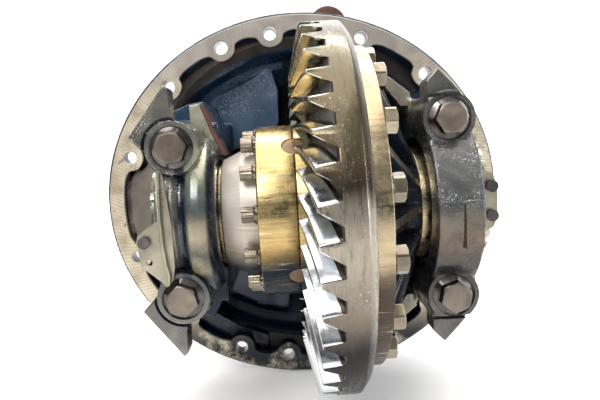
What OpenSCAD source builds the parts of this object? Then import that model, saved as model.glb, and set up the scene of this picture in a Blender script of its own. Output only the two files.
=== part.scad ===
// Differential gear assembly of a truck rear axle: carrier casting, bearing caps,
// crown wheel and pinion, differential case with its bevel gears.
// Frame: origin at the centre of the flange's mounting face, +X to the crown wheel's
// side, +Y into the carrier towards the input flange, +Z up. Millimetres.

/* [Carrier flange] */
// Half width of the oval flange
flange_rx = 260; // [256:1:266]
// Half height of the oval flange
flange_rz = 242; // [238:1:248]
// Thickness of the flange
flange_t = 24; // [20:1:28]
// Radius of the flange bolt holes
flange_hole_r = 8.75; // [8.5:0.25:9.25]

/* [Differential axis] */
// Place of the crown wheel axis in front of the flange face
axis_y = -110; // [-112:0.5:-108]
// Place of the pinion axis beside the flange centre
pinion_x = -50; // [-51:0.5:-49]

/* [Crown wheel and pinion] */
// Teeth of the crown wheel
wheel_teeth = 41; // [41]
// Teeth of the pinion
pinion_teeth = 11; // [11]
// Outer radius of the crown wheel
wheel_r = 205; // [203:0.5:206]
// Radius where the crown wheel's teeth end inside
wheel_toe_r = 148; // [146:1:152]
// Spiral angle in the middle of the face
spiral_deg = 35; // [30:1:36]
// Crown wheel tooth thickness as a share of half the pitch
wheel_share = 0.64; // [0.6:0.01:0.66]
// Pinion tooth thickness as a share of half the pitch
pinion_share = 1.12; // [1.08:0.01:1.14]

/* [Differential gears] */
// Teeth of each side gear
side_teeth = 16; // [16]
// Teeth of each spider gear
spider_teeth = 10; // [10]
// Module of the side and spider gears at their outer end
diff_module = 7; // [6.8:0.1:7]
// Place of the cross centre along the crown wheel axis
cross_x = -14; // [-15:0.5:-13]

/* [Bearings] */
// Left side bearing: bore radius, outer radius, width, rollers
left_brg = [40, 62.5, 29, 24];
// Right side bearing: bore radius, outer radius, width, rollers
right_brg = [50, 75, 32, 24];
// Inner pinion bearing: bore radius, outer radius, width, rollers
inner_brg = [30, 65, 44, 16];
// Outer pinion bearing: bore radius, outer radius, width, rollers
outer_brg = [25, 55, 38, 16];

/* [Fasteners] */
// Cap bolt: shank radius of the thread
cap_bolt_r = 10; // [9.5:0.5:10]
// Crown wheel bolts in the ring
wheel_bolts = 16; // [16]
// Bolts that hold the case halves together
case_bolts_n = 12; // [12]

/* [Hidden] */
$fn = 64;

fit = 0.05;                 // radial clearance of a located or running fit
press = 0.02;               // radial clearance of a tight seat
ax_y = axis_y;

// Flange bolt holes, upper right quarter; each is repeated in the other quarters
hole_corner = [171, 157];
hole_top_in = [33, 219];
hole_top_left = [98, 204];
hole_top_right = [87, 208];
hole_side = [229, 67];
hole_boss_r = 23;

// Bearing places along the crown wheel axis (back face of the cone)
left_brg_x = -98;
right_brg_x = 128;
// Cap bolts: x, half spacing in z
left_cap_bolt = [-137, 78];
right_cap_bolt = [146, 92.5];
cap_seat_y = -177;
dowel_r = 12.5;
cap_bolt_head = [21.3, 3.4, 30, 15];   // washer face radius, its thickness, hexagon, head height

// Case and crown wheel places along the axis
wheel_back_x = 47;
case_flange = [178, 47, 65];           // radius, first and last x
case_r = 96;
case_end_x = -54;
wheel_bore_r = 118;
wheel_bolt_pcr = 162;
case_bolt_pcr = 84;
journal_bore_r = 32;
cross_arm_r = 12;
cross_angles = [40, 130, 220, 310];

// Bevel geometry of the crown wheel pair: both cones share one apex
wheel_cone = atan2(wheel_teeth, pinion_teeth);
pinion_cone = 90 - wheel_cone;
wheel_module = 2 * 203.6 / wheel_teeth;
outer_dist = wheel_module * wheel_teeth / 2 / sin(wheel_cone);
apex = [pinion_x, axis_y, 0];
wheel_add = 0.6 * wheel_module / outer_dist;
wheel_ded = 1.3 * wheel_module / outer_dist;
pinion_add = 1.22 * wheel_module / outer_dist;
pinion_ded = 0.74 * wheel_module / outer_dist;
mean_dist = outer_dist - 28;

// Pinion side places along Y
pinion_back_y = 99;
nose_y = 185;
cage_flange_t = 16;
shim_t = 3;
cage_flange_y = nose_y + shim_t;
inner_brg_y = 101;
outer_brg_y = 199;
nose_r = 76;
cage_end_y = 214;
cage_bolt_pcr = 88;
seal_r = 60;                // seat of the oil seal in the cage
hub_r = 44;                 // hub of the input flange, on which the seal runs
flange_seat_r = 23;         // shaft under the input flange
thread_r = 18;              // thread of the pinion nut
wheel_turn = 10.5;          // angle of the first crown wheel bolt
case_turn = 25;             // angle of the first case bolt
cage_turns = [22.5 : 45 : 340];

// ---------- helpers ----------
module x_cyl(r, x0, x1) {
    translate([x0, ax_y, 0]) rotate([0, 90, 0]) cylinder(r = r, h = x1 - x0);
}
module x_spin(pts) {
    translate([0, ax_y, 0]) rotate([0, 90, 0]) rotate_extrude() polygon(pts);
}
module y_cyl(r, x, z, y0, y1) {
    translate([x, y0, z]) rotate([-90, 0, 0]) cylinder(r = r, h = y1 - y0);
}
module y_spin(pts, x = pinion_x) {
    translate([x, 0, 0]) rotate([-90, 0, 0]) rotate_extrude() polygon(pts);
}
// Turns its children about the crown wheel axis; they start along +Y
module about_x(a) {
    translate([0, ax_y, 0]) rotate([a, 0, 0]) children();
}
module about_pinion(a) {
    translate([pinion_x, 0, 0]) rotate([0, a, 0]) children();
}
// A plate in the XZ plane, from y0 to y1
module xz_plate(pts, y0, y1) {
    translate([0, y1, 0]) rotate([90, 0, 0]) linear_extrude(y1 - y0) polygon(pts);
}
module hexagon(af, h) {
    cylinder(r = af / sqrt(3), h = h, $fn = 6);
}
function oval(rx, rz, n) = [for (i = [0 : n - 1]) [rx * cos(360 * i / n), rz * sin(360 * i / n)]];

// ---------- bevel tooth geometry ----------
pressure = 22;
function inv_deg(a) = tan(a) * 180 / PI - a;
// Half tooth angle about the gear's own axis, at height t (a share of the cone distance)
function half_angle(n, cone, t, share) =
    let (rv = tan(cone), r = rv + t, rb = rv * cos(pressure),
         at = r > rb ? acos(rb / r) : 0,
         psi = share * 90 / (n / cos(cone)) + inv_deg(pressure) - inv_deg(at))
    psi * r / (sin(cone) + t * cos(cone));
// Spiral offset of the crown wheel's tooth at cone distance s, in degrees
function wheel_spiral(s) =
    let (u = s / mean_dist)
    (tan(spiral_deg) / sin(wheel_cone)) * (ln(u) + 0.55 * (u - 1) * (u - 1)) * 180 / PI;

// Levels of one tooth, from root to tip and back: [height, side]
function tooth_levels(ded, add) =
    [[-ded, -1], [-ded * 0.35, -1], [add * 0.45, -1], [add, -1],
     [add, 1], [add * 0.45, 1], [-ded * 0.35, 1], [-ded, 1]];
function clip_low(a, n) = min(a, 180 / n * 0.97);

// Ring of crown wheel teeth: sections of constant radius, closed below inside the blank
module wheel_teeth_ring(base_x, steps) {
    lv = tooth_levels(wheel_ded, wheel_add);
    m = len(lv);
    top = [for (j = [0 : steps]) for (i = [0 : wheel_teeth - 1]) for (k = [0 : m - 1])
        let (r = wheel_toe_r + (wheel_r - 0.1 - wheel_toe_r) * j / steps,
             t = lv[k][0],
             s = r / (sin(wheel_cone) + t * cos(wheel_cone)),
             x = s * (cos(wheel_cone) - t * sin(wheel_cone)),
             a = 360 * i / wheel_teeth + wheel_spiral(s)
                 + lv[k][1] * clip_low(half_angle(wheel_teeth, wheel_cone, t, wheel_share), wheel_teeth))
        [apex.x + x, r * cos(a), r * sin(a)]];
    c = wheel_teeth * m;
    low = [for (j = [steps, 0]) for (q = [0 : c - 1])
        let (p = top[j * c + q]) [base_x, p.y, p.z]];
    pts = concat(top, low);
    rows = steps + 3;
    faces = [for (j = [0 : rows - 1]) for (q = [0 : c - 1])
        let (q2 = (q + 1) % c, j2 = (j + 1) % rows)
        each [[j * c + q, j2 * c + q2, j * c + q2], [j * c + q, j2 * c + q, j2 * c + q2]]];
    translate([0, ax_y, 0]) polyhedron(pts, faces);
}

// Ring of bevel teeth, axis on +Z and apex at the origin; its inner wall lies inside the gear's blank
module bevel_teeth(n, cone, ded, add, share, s0, s1, steps, spiral_ratio, turn, inner_r) {
    lv = tooth_levels(ded, add);
    m = len(lv);
    c = n * m;
    ring = [for (j = [0 : steps]) for (i = [0 : n - 1]) for (k = [0 : m - 1])
        let (s = s0 + (s1 - s0) * j / steps, t = lv[k][0],
             r = s * (sin(cone) + t * cos(cone)),
             z = s * (cos(cone) - t * sin(cone)),
             a = turn + 360 * i / n + spiral_ratio * wheel_spiral(s)
                 + lv[k][1] * clip_low(half_angle(n, cone, t, share), n))
        [r * cos(a), r * sin(a), z]];
    inside = [for (j = [steps, 0]) for (q = [0 : c - 1])
        let (p = ring[j * c + q], r = norm([p.x, p.y]), z = (s0 + (s1 - s0) * j / steps) * cos(cone))
        [p.x * inner_r / r, p.y * inner_r / r, z]];
    rows = steps + 3;
    faces = [for (j = [0 : rows - 1]) for (q = [0 : c - 1])
        let (q2 = (q + 1) % c, j2 = (j + 1) % rows)
        each [[j * c + q, j2 * c + q2, j * c + q2], [j * c + q, j2 * c + q, j2 * c + q2]]];
    polyhedron(concat(ring, inside), faces);
}

// ---------- taper roller bearings, back face of the cone at z = 0 ----------
brg_tilt = 13;
function b_rp(b) = (b[0] + b[1]) / 2;
function b_rr(b) = (b[1] - b[0]) * 0.23;
function b_za(b) = b[2] * 0.48 + b_rp(b) / tan(brg_tilt);
function b_l0(b) = b_rp(b) / sin(brg_tilt);
function b_len(b) = b[2] * 0.6;
function b_rho(b) = asin(b_rr(b) / b_l0(b));
function cup_race(b, z) = (b_za(b) - z) * tan(brg_tilt + b_rho(b)) + fit;
function cone_race(b, z) = (b_za(b) - z) * tan(brg_tilt - b_rho(b)) - fit;
module brg_cup(b) {
    z0 = b[2] * 0.16;
    rotate_extrude() polygon([[cup_race(b, z0), z0], [b[1] - 1, z0], [b[1], z0 + 1],
        [b[1], b[2] - 1], [b[1] - 1, b[2]], [cup_race(b, b[2]), b[2]]]);
}
module brg_cone(b) {
    zr = b_za(b) - (b_l0(b) + b_len(b) / 2) * cos(brg_tilt) - b_rr(b) * sin(brg_tilt) - 0.6;
    z1 = b[2] * 0.9;
    rib = cone_race(b, zr) + b_rr(b) * 0.5;
    rotate_extrude() polygon([[b[0] + 1, 0], [rib - 1, 0], [rib, 1], [rib, zr],
        [cone_race(b, zr), zr], [cone_race(b, z1), z1], [b[0] + 1, z1], [b[0], z1 - 1], [b[0], 1]]);
}
module brg_roller(b, grow) {
    l = b_len(b) + 2 * grow;
    l0 = b_l0(b) - l / 2;
    tr = b_rr(b) / b_l0(b);
    translate([0, 0, b_za(b)]) rotate([0, 180 - brg_tilt, 0]) translate([0, 0, l0])
        cylinder(h = l, r1 = l0 * tr + grow, r2 = (l0 + l) * tr + grow, $fn = 24);
}
module brg_rollers(b) {
    for (i = [0 : b[3] - 1]) rotate([0, 0, 360 * i / b[3]]) brg_roller(b, 0);
}
module brg_cage(b) {
    end = b_len(b) / 2 + 2.2;
    z0 = b[2] * 0.48 - end * cos(brg_tilt);
    z1 = b[2] * 0.48 + end * cos(brg_tilt);
    r0 = (b_za(b) - z0) * tan(brg_tilt);
    r1 = (b_za(b) - z1) * tan(brg_tilt);
    difference() {
        rotate_extrude() polygon([[r0 - 1.1, z0], [r0 + 1.1, z0], [r1 + 1.1, z1], [r1 - 1.1, z1]]);
        for (i = [0 : b[3] - 1]) rotate([0, 0, 360 * i / b[3]]) brg_roller(b, 0.35);
    }
}
module at_left_brg() { translate([left_brg_x, ax_y, 0]) rotate([0, -90, 0]) children(); }
module at_right_brg() { translate([right_brg_x, ax_y, 0]) rotate([0, 90, 0]) children(); }
module at_inner_brg() { translate([pinion_x, inner_brg_y, 0]) rotate([-90, 0, 0]) children(); }
module at_outer_brg() { translate([pinion_x, outer_brg_y, 0]) rotate([90, 0, 0]) children(); }

// ---------- carrier housing ----------
module flange_holes(r) {
    for (mz = [1, -1]) {
        for (mx = [1, -1]) {
            y_cyl(r, mx * hole_corner.x, mz * hole_corner.y, -1, flange_t + 1);
            y_cyl(r, mx * hole_top_in.x, mz * hole_top_in.y, -1, flange_t + 1);
            y_cyl(r, mx * hole_side.x, mz * hole_side.y, -1, flange_t + 1);
        }
        y_cyl(r, -hole_top_left.x, mz * hole_top_left.y, -1, flange_t + 1);
        y_cyl(r, hole_top_right.x, mz * hole_top_right.y, -1, flange_t + 1);
    }
}
module flange_plate() {
    difference() {
        union() {
            xz_plate(oval(flange_rx, flange_rz, 120), 0, 5);
            xz_plate(oval(flange_rx + 4, flange_rz + 4, 120), 4, flange_t);
        }
        difference() {
            xz_plate(oval(flange_rx - 36, flange_rz - 36, 120), -1, flange_t + 1);
            translate([0, 1, 0]) flange_holes(hole_boss_r);
        }
    }
}
// Outer and inner shape of the bowl, as radius and depth
bowl_out = [[0, 6], [226, 6], [226, 40], [219, 62], [196, 88], [160, 110], [118, 122], [0, 122]];
bowl_in = [[0, -1], [209, -1], [209, 38], [202, 56], [180, 78], [148, 98], [112, 108], [0, 108]];
module inside_bowl() {
    intersection() {
        children();
        union() {
            y_spin([[0, -200], [221, -200], [221, 20], [0, 20]], 0);
            y_spin(bowl_out, 0);
        }
    }
}
module left_post() {
    inside_bowl() translate([-163, ax_y, -104]) cube([66, 240, 208]);
}
module right_post() {
    inside_bowl() {
        translate([122, ax_y, -118]) cube([52, 230, 236]);
        // slanted arm that ties the post to the bowl, above and below
        for (mz = [1, -1])
            xz_plate([[124, mz * 106], [124, mz * 126], [98, mz * 147], [84, mz * 146]], ax_y + 4, 100);
    }
}
// Seats of the side bearings and of their adjusters, cut from posts and caps alike
module side_seats() {
    x_cyl(left_brg[1] + fit, left_brg_x - left_brg[2], -90);
    x_cyl(left_brg[1] + 2 + fit, -175, left_brg_x - left_brg[2]);
    x_cyl(right_brg[1] + fit, 115, right_brg_x + right_brg[2]);
    x_cyl(right_brg[1] + 2 + fit, right_brg_x + right_brg[2], 190);
}
module cap_bolt_holes(r, y0, y1) {
    for (mz = [1, -1]) {
        y_cyl(r, left_cap_bolt.x, mz * left_cap_bolt.y, y0, y1);
        y_cyl(r, right_cap_bolt.x, mz * right_cap_bolt.y, y0, y1);
    }
}
// Bowl with its nose and outer ribs
module bowl_shell() {
    difference() {
        union() {
            y_spin(bowl_out, 0);
            y_cyl(98, pinion_x, 0, 90, nose_y);
            for (a = [0 : 45 : 315]) about_pinion(a)
                translate([0, 0, -6]) linear_extrude(12)
                    polygon([[80, 95], [a == 180 ? 118 : 140, 95], [106, 172], [80, 172]]);
            for (a = cage_turns) about_pinion(a) translate([cage_bolt_pcr, 150, 0])
                rotate([-90, 0, 0]) cylinder(r = 13.5, h = nose_y - 152);
        }
        y_spin(bowl_in, 0);
    }
}
module carrier_housing() {
    color("dimgray") difference() {
        union() {
            flange_plate();
            bowl_shell();
            difference() {
                union() {
                    left_post();
                    right_post();
                    // webs from the left post to the bowl, and the wall beside it
                    for (mz = [1, -1]) translate([-214, 10, mz * 78 - 7]) cube([60, 50, 14]);
                    xz_plate([[-219, -60], [-160, -66], [-160, 66], [-219, 60]], 9, 21);
                }
                // room for the pinion head and the rotating case
                y_spin([[0, -60], [60, -60], [78, 30], [78, 104], [0, 104]]);
                x_cyl(111, -95, 121);
            }
            // lifting boss on the top edge
            y_cyl(26, 46, 230, 22, 62);
            translate([23, 22, 200]) cube([46, 38, 30]);
        }
        flange_holes(flange_hole_r);
        y_cyl(nose_r, pinion_x, 0, 60, nose_y + 1);
        side_seats();
        cap_bolt_holes(cap_bolt_r, ax_y - 1, -38);
        cap_bolt_holes(dowel_r, ax_y - 1, ax_y + 10);
        for (a = cage_turns) about_pinion(a) translate([cage_bolt_pcr, 155, 0])
            rotate([-90, 0, 0]) cylinder(r = 6, h = 40);
    }
}

// ---------- bearing caps ----------
module cap_cuts(bolt) {
    side_seats();
    cap_bolt_holes(cap_bolt_r + 0.75, -250, 0);
    cap_bolt_holes(dowel_r, ax_y - 10, ax_y + 1);
    for (mz = [1, -1]) y_cyl(24.5, bolt.x, mz * bolt.y, -260, cap_seat_y);
    translate([-400, ax_y, -300]) cube([800, 400, 600]);
}
module bearing_cap_left() {
    color("darkolivegreen") difference() {
        union() {
            x_cyl(88, -131, -97);
            x_cyl(77, -159, -131);
            for (mz = [1, -1]) {
                y_cyl(27, left_cap_bolt.x, mz * left_cap_bolt.y, cap_seat_y - 2, ax_y);
                xz_plate([[-163, mz * 55], [-112, mz * 55], [-112, mz * 96], [-163, mz * 96]],
                    -166, ax_y);
                xz_plate([[-180, mz * 90], [-141, mz * 141], [-135, mz * 135], [-132, mz * 100],
                    [-140, mz * 70], [-166, mz * 76]], -178, -150);
            }
        }
        cap_cuts(left_cap_bolt);
    }
}
module bearing_cap_right() {
    color("darkolivegreen") difference() {
        union() {
            x_cyl(99, 124, 172);
            for (mz = [1, -1]) {
                y_cyl(27, right_cap_bolt.x, mz * right_cap_bolt.y, cap_seat_y - 2, ax_y);
                xz_plate([[124, mz * 60], [174, mz * 60], [174, mz * 95], [160, mz * 117], [124, mz * 117]],
                    -172, ax_y);
                xz_plate([[124, mz * 90], [174, mz * 95], [160, mz * 118], [136, mz * 143], [124, mz * 131]],
                    -180, -152);
            }
            translate([150, -213, -38]) cube([18, 14, 48]);
        }
        cap_cuts(right_cap_bolt);
    }
}
module flange_bolt(grip) {
    // head outwards along -Y, washer face at y = 0
    rotate([90, 0, 0]) {
        cylinder(r = cap_bolt_head[0], h = cap_bolt_head[1]);
        hexagon(cap_bolt_head[2], cap_bolt_head[3]);
    }
    rotate([-90, 0, 0]) cylinder(r = cap_bolt_r - fit, h = grip);
}
module cap_bolts_left() {
    color("slategray") for (mz = [1, -1])
        translate([left_cap_bolt.x, cap_seat_y, mz * left_cap_bolt.y]) flange_bolt(125);
}
module cap_bolts_right() {
    color("slategray") for (mz = [1, -1])
        translate([right_cap_bolt.x, cap_seat_y, mz * right_cap_bolt.y]) flange_bolt(125);
}
module cap_dowels() {
    color("silver") difference() {
        cap_bolt_holes(dowel_r - fit, ax_y - 9.5, ax_y + 9.5);
        cap_bolt_holes(cap_bolt_r + 0.75, ax_y - 20, ax_y + 20);
    }
}

// ---------- adjusters and their locks ----------
module adjuster(ro, ri, len, n) {
    difference() {
        rotate_extrude() polygon([[ri, 0], [ro - 1, 0], [ro, 1], [ro, len - 9], [ro - 7, len - 8],
            [ro - 7, len], [ri, len]]);
        for (i = [0 : n - 1]) rotate([0, 0, (i + 0.5) * 360 / n])
            translate([ro - 15, -3.5, len - 7]) cube([10, 7, 8]);
    }
}
module adjuster_ring_left() {
    color("gray") translate([left_brg_x - left_brg[2] - 0.1, ax_y, 0]) rotate([0, -90, 0])
        adjuster(left_brg[1] + 2, 45, 40, 24);
}
module adjuster_ring_right() {
    color("gray") translate([right_brg_x + right_brg[2] + 0.1, ax_y, 0]) rotate([0, 90, 0])
        adjuster(right_brg[1] + 2, 55, 28, 28);
}
module lock_plate_left() {
    color("darkgray") difference() {
        union() {
            xz_plate([[-152, 56], [-160, 56], [-163, 8], [-175, -8], [-176, -22], [-173, -42], [-155, -62],
                [-152, -58]], -190, -187.2);
            xz_plate([[-152, 50], [-154.8, 50], [-154.8, -52], [-152, -52]], -194, -187.2);
        }
        y_cyl(3.2, -169, -15, -200, -180);
        y_cyl(3.2, -166, -36, -200, -180);
    }
}
module lock_plate_right() {
    color("darkgray") difference() {
        xz_plate([[174.2, 40], [186, 34], [190, 20], [190, -8], [186, -20], [174.2, -26]], -190, -187);
        y_cyl(3.2, 183, 22, -200, -180);
        y_cyl(3.2, 183, -8, -200, -180);
    }
}
module lock_plate_screws() {
    color("gray") for (p = [[-169, -15], [183, 22], [183, -8]]) {
        y_cyl(6, p[0], p[1], -196, -190);
        y_cyl(3.1, p[0], p[1], -190, -184);
    }
}

// ---------- side bearings ----------
module side_bearing_cup_left() { color("silver") at_left_brg() brg_cup(left_brg); }
module side_bearing_cup_right() { color("silver") at_right_brg() brg_cup(right_brg); }
module side_bearing_cone_left() { color("silver") at_left_brg() brg_cone(left_brg); }
module side_bearing_cone_right() { color("silver") at_right_brg() brg_cone(right_brg); }
module side_rollers_left() { color("lightgray") at_left_brg() brg_rollers(left_brg); }
module side_rollers_right() { color("lightgray") at_right_brg() brg_rollers(right_brg); }
module side_roller_cage_left() { color("goldenrod") at_left_brg() brg_cage(left_brg); }
module side_roller_cage_right() { color("goldenrod") at_right_brg() brg_cage(right_brg); }

// ---------- crown wheel ----------
module crown_wheel() {
    color("darkkhaki") difference() {
        union() {
            wheel_teeth_ring(26, 6);
            x_spin([[wheel_bore_r, 6], [wheel_toe_r - 4, 4], [wheel_toe_r + 2, 6], [wheel_r, 19.4],
                [wheel_r, wheel_back_x - 8], [wheel_r - 10, wheel_back_x], [wheel_bore_r, wheel_back_x]]);
        }
        for (i = [0 : wheel_bolts - 1]) about_x(wheel_turn + 360 * i / wheel_bolts)
            translate([wheel_back_x - 24, wheel_bolt_pcr, 0]) rotate([0, 90, 0]) cylinder(r = 8, h = 30);
    }
}

// ---------- differential case ----------
cavity_r = 67;
side_back = 52;             // from the cross centre to the back of a side gear
side_hub_r = 38;
cavity_arc = [for (a = [-24 : 4 : 24]) [cavity_r * cos(a), cross_x + cavity_r * sin(a)]];
module case_cavity() {
    x_spin(concat(
        [[0, -200], [journal_bore_r, -200], [journal_bore_r, cross_x - side_back - 24],
         [side_hub_r + fit, cross_x - side_back - 24], [side_hub_r + fit, cross_x - side_back - 2],
         [61, cross_x - side_back - 2], [61, cross_x - 30]],
        [for (p = cavity_arc) if (p.x > 61.5) p],
        [[61, cross_x + 30], [61, cross_x + side_back + 2], [side_hub_r + fit, cross_x + side_back + 2],
         [side_hub_r + fit, cross_x + side_back + 24], [journal_bore_r, cross_x + side_back + 24],
         [journal_bore_r, 220], [0, 220]]));
    for (a = cross_angles) about_x(a) translate([cross_x, 50, 0]) rotate([-90, 0, 0])
        cylinder(r = cross_arm_r + press, h = 60);
}
module case_bolt_holes(r, x0, x1) {
    for (i = [0 : case_bolts_n - 1]) about_x(case_turn + 360 * i / case_bolts_n)
        translate([x0, case_bolt_pcr, 0]) rotate([0, 90, 0]) cylinder(r = r, h = x1 - x0);
}
module case_half_left() {
    color("goldenrod") difference() {
        x_spin([[0, cross_x], [case_r, cross_x], [case_r, case_end_x + 1.5], [case_r - 1.5, case_end_x],
            [73, case_end_x], [73, -60], [70, -72], [61, -92], [57.5, -93], [57.5, left_brg_x],
            [left_brg[0] - press, left_brg_x], [left_brg[0] - press, left_brg_x - 30],
            [left_brg[0] - 2, left_brg_x - 32], [0, left_brg_x - 32]]);
        case_cavity();
        case_bolt_holes(6.5, case_end_x - 1, cross_x + 1);
    }
}
module case_half_right() {
    color("goldenrod") difference() {
        union() {
            x_spin([[0, cross_x], [case_r, cross_x], [case_r, 22], [wheel_bore_r - fit, 26],
                [wheel_bore_r - fit, case_flange[1]], [case_flange[0], case_flange[1]],
                [case_flange[0], case_flange[2]], [120, case_flange[2]], [84, 76], [66, 100], [62, 120],
                [62, right_brg_x], [right_brg[0] - press, right_brg_x],
                [right_brg[0] - press, right_brg_x + 33], [right_brg[0] - 2, right_brg_x + 35],
                [0, right_brg_x + 35]]);
            for (i = [0 : wheel_bolts - 1]) about_x(wheel_turn + 180 / wheel_bolts + 360 * i / wheel_bolts)
                translate([0, 0, -4]) linear_extrude(8)
                    polygon([[60, 60], [60, 172], [68, 172], [116, 64], [116, 50]]);
        }
        case_cavity();
        case_bolt_holes(6, cross_x - 1, cross_x + 26);
        for (i = [0 : wheel_bolts - 1]) about_x(wheel_turn + 360 * i / wheel_bolts)
            translate([wheel_back_x - 1, wheel_bolt_pcr, 0]) rotate([0, 90, 0]) cylinder(r = 8.5, h = 40);
    }
}
module case_bolts() {
    color("silver") for (i = [0 : case_bolts_n - 1]) about_x(case_turn + 360 * i / case_bolts_n)
        translate([case_end_x, case_bolt_pcr, 0]) rotate([0, 90, 0]) {
            translate([0, 0, -3]) cylinder(r = 10, h = 3);
            translate([0, 0, -16]) cylinder(r = 8.2, h = 13);
            cylinder(r = 6 - fit, h = 60);
        }
}
module crown_wheel_bolts() {
    color("gray") for (i = [0 : wheel_bolts - 1]) about_x(wheel_turn + 360 * i / wheel_bolts)
        translate([case_flange[2], wheel_bolt_pcr, 0]) rotate([0, 90, 0]) {
            hexagon(24, 13);
            translate([0, 0, -38]) cylinder(r = 8 - fit, h = 38);
        }
}
module cross_shaft() {
    color("sienna") difference() {
        union() {
            for (a = cross_angles) about_x(a) translate([cross_x, 17.5, 0]) rotate([-90, 0, 0])
                cylinder(r = cross_arm_r, h = case_r - 19);
            x_spin([[0, cross_x - 15], [19, cross_x - 15], [22, cross_x - 12], [22, cross_x + 12],
                [19, cross_x + 15], [0, cross_x + 15]]);
        }
        x_cyl(7, cross_x - 20, cross_x + 20);
    }
}

// ---------- side and spider gears ----------
side_cone = atan2(side_teeth, spider_teeth);
diff_dist = diff_module * side_teeth / 2 / sin(side_cone);
diff_add = 0.9 * diff_module / diff_dist;
diff_ded = 1.15 * diff_module / diff_dist;
diff_share = 0.86;
diff_toe = diff_dist * 0.66;
// Axis on +Z, apex at the origin
module side_gear() {
    difference() {
        union() {
            bevel_teeth(side_teeth, side_cone, diff_ded, diff_add, diff_share, diff_toe, diff_dist,
                1, 0, 0, 30);
            rotate_extrude() polygon([[0, 22], [33, 22], [33, 29], [51, 43.5], [56, 47], [56, side_back],
                [side_hub_r, side_back], [side_hub_r, side_back + 20], [0, side_back + 20]]);
        }
        translate([0, 0, -1]) cylinder(r = 27, h = 100);
    }
}
module spider_gear() {
    intersection() {
        difference() {
            union() {
                bevel_teeth(spider_teeth, 90 - side_cone, diff_ded, diff_add, diff_share,
                    diff_toe, diff_dist, 1, 0, 18, 15);
                rotate_extrude() polygon([[0, 35], [17.5, 35], [17.5, 41], [27, 60.5], [27, 80],
                    [0, 80]]);
            }
            translate([0, 0, -1]) cylinder(r = cross_arm_r + fit, h = 100);
        }
        sphere(r = cavity_r - 2);
    }
}
module place_spider(i) {
    translate([cross_x, 0, 0]) about_x(cross_angles[i]) rotate([-90, 0, 0]) children();
}
module side_gear_left() {
    color("lightsteelblue") translate([cross_x, ax_y, 0]) rotate([cross_angles[0], 0, 0])
        rotate([0, -90, 0]) rotate([0, 0, 90]) side_gear();
}
module side_gear_right() {
    color("lightsteelblue") translate([cross_x, ax_y, 0]) rotate([cross_angles[0], 0, 0])
        rotate([0, 90, 0]) rotate([0, 0, 90]) side_gear();
}
module spider_gear_1() { color("lightsteelblue") place_spider(0) spider_gear(); }
module spider_gear_2() { color("lightsteelblue") place_spider(1) spider_gear(); }
module spider_gear_3() { color("lightsteelblue") place_spider(2) spider_gear(); }
module spider_gear_4() { color("lightsteelblue") place_spider(3) spider_gear(); }
module side_thrust_washers() {
    color("peru") difference() {
        union() {
            x_cyl(55, cross_x - side_back - 2, cross_x - side_back - 0.1);
            x_cyl(55, cross_x + side_back + 0.1, cross_x + side_back + 2);
        }
        x_cyl(side_hub_r + 0.3, -200, 200);
    }
}
module spider_thrust_washers() {
    color("peru") for (i = [0 : 3]) place_spider(i) difference() {
        intersection() {
            sphere(r = cavity_r - 0.15);
            cylinder(r = 26, h = 100);
        }
        sphere(r = cavity_r - 1.9);
        cylinder(r = cross_arm_r + fit, h = 100);
    }
}

// ---------- pinion ----------
module drive_pinion() {
    color("lightgray") {
        translate(apex) rotate([-90, 0, 0]) bevel_teeth(pinion_teeth, pinion_cone, pinion_ded,
            pinion_add, pinion_share, mean_dist - 30, outer_dist - 1, 6,
            -wheel_teeth / pinion_teeth, 180 / pinion_teeth, 25);
        y_spin([[0, 34], [31, 34], [33.2, 36], [47.2, 96], [43, pinion_back_y], [43, inner_brg_y],
            [inner_brg[0] - fit, inner_brg_y], [inner_brg[0] - fit, 139.5],
            [outer_brg[0] - fit, 140.5], [outer_brg[0] - fit, 197], [flange_seat_r - fit, 199],
            [flange_seat_r - fit, 254], [thread_r, 255], [thread_r, 279], [thread_r - 1.5, 281],
            [0, 281]]);
    }
}
module pinion_bearing_cup_inner() { color("silver") at_inner_brg() brg_cup(inner_brg); }
module pinion_bearing_cup_outer() { color("silver") at_outer_brg() brg_cup(outer_brg); }
module pinion_bearing_cone_inner() { color("silver") at_inner_brg() brg_cone(inner_brg); }
module pinion_bearing_cone_outer() { color("silver") at_outer_brg() brg_cone(outer_brg); }
module pinion_rollers_inner() { color("lightgray") at_inner_brg() brg_rollers(inner_brg); }
module pinion_rollers_outer() { color("lightgray") at_outer_brg() brg_rollers(outer_brg); }
module pinion_roller_cage_inner() { color("goldenrod") at_inner_brg() brg_cage(inner_brg); }
module pinion_roller_cage_outer() { color("goldenrod") at_outer_brg() brg_cage(outer_brg); }
module pinion_spacer() {
    color("silver") y_spin([[outer_brg[0] + fit, 140.8], [33, 140.8], [33, 164.6],
        [outer_brg[0] + fit, 164.6]]);
}
module pinion_cage() {
    color("dimgray") difference() {
        y_spin([[0, 112], [nose_r - fit, 112], [nose_r - fit, cage_flange_y], [102, cage_flange_y],
            [102, cage_flange_y + cage_flange_t], [75, cage_flange_y + cage_flange_t], [71, 208],
            [66, cage_end_y], [0, cage_end_y]]);
        y_cyl(inner_brg[1] + fit, pinion_x, 0, 100, inner_brg_y + inner_brg[2]);
        y_cyl(48, pinion_x, 0, 100, cage_end_y + 6);
        y_cyl(outer_brg[1] + fit, pinion_x, 0, outer_brg_y - outer_brg[2], cage_end_y + 6);
        y_cyl(seal_r, pinion_x, 0, 201, cage_end_y + 6);
        for (a = cage_turns) about_pinion(a) translate([cage_bolt_pcr, 150, 0])
            rotate([-90, 0, 0]) cylinder(r = 6.6, h = 80);
    }
}
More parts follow.
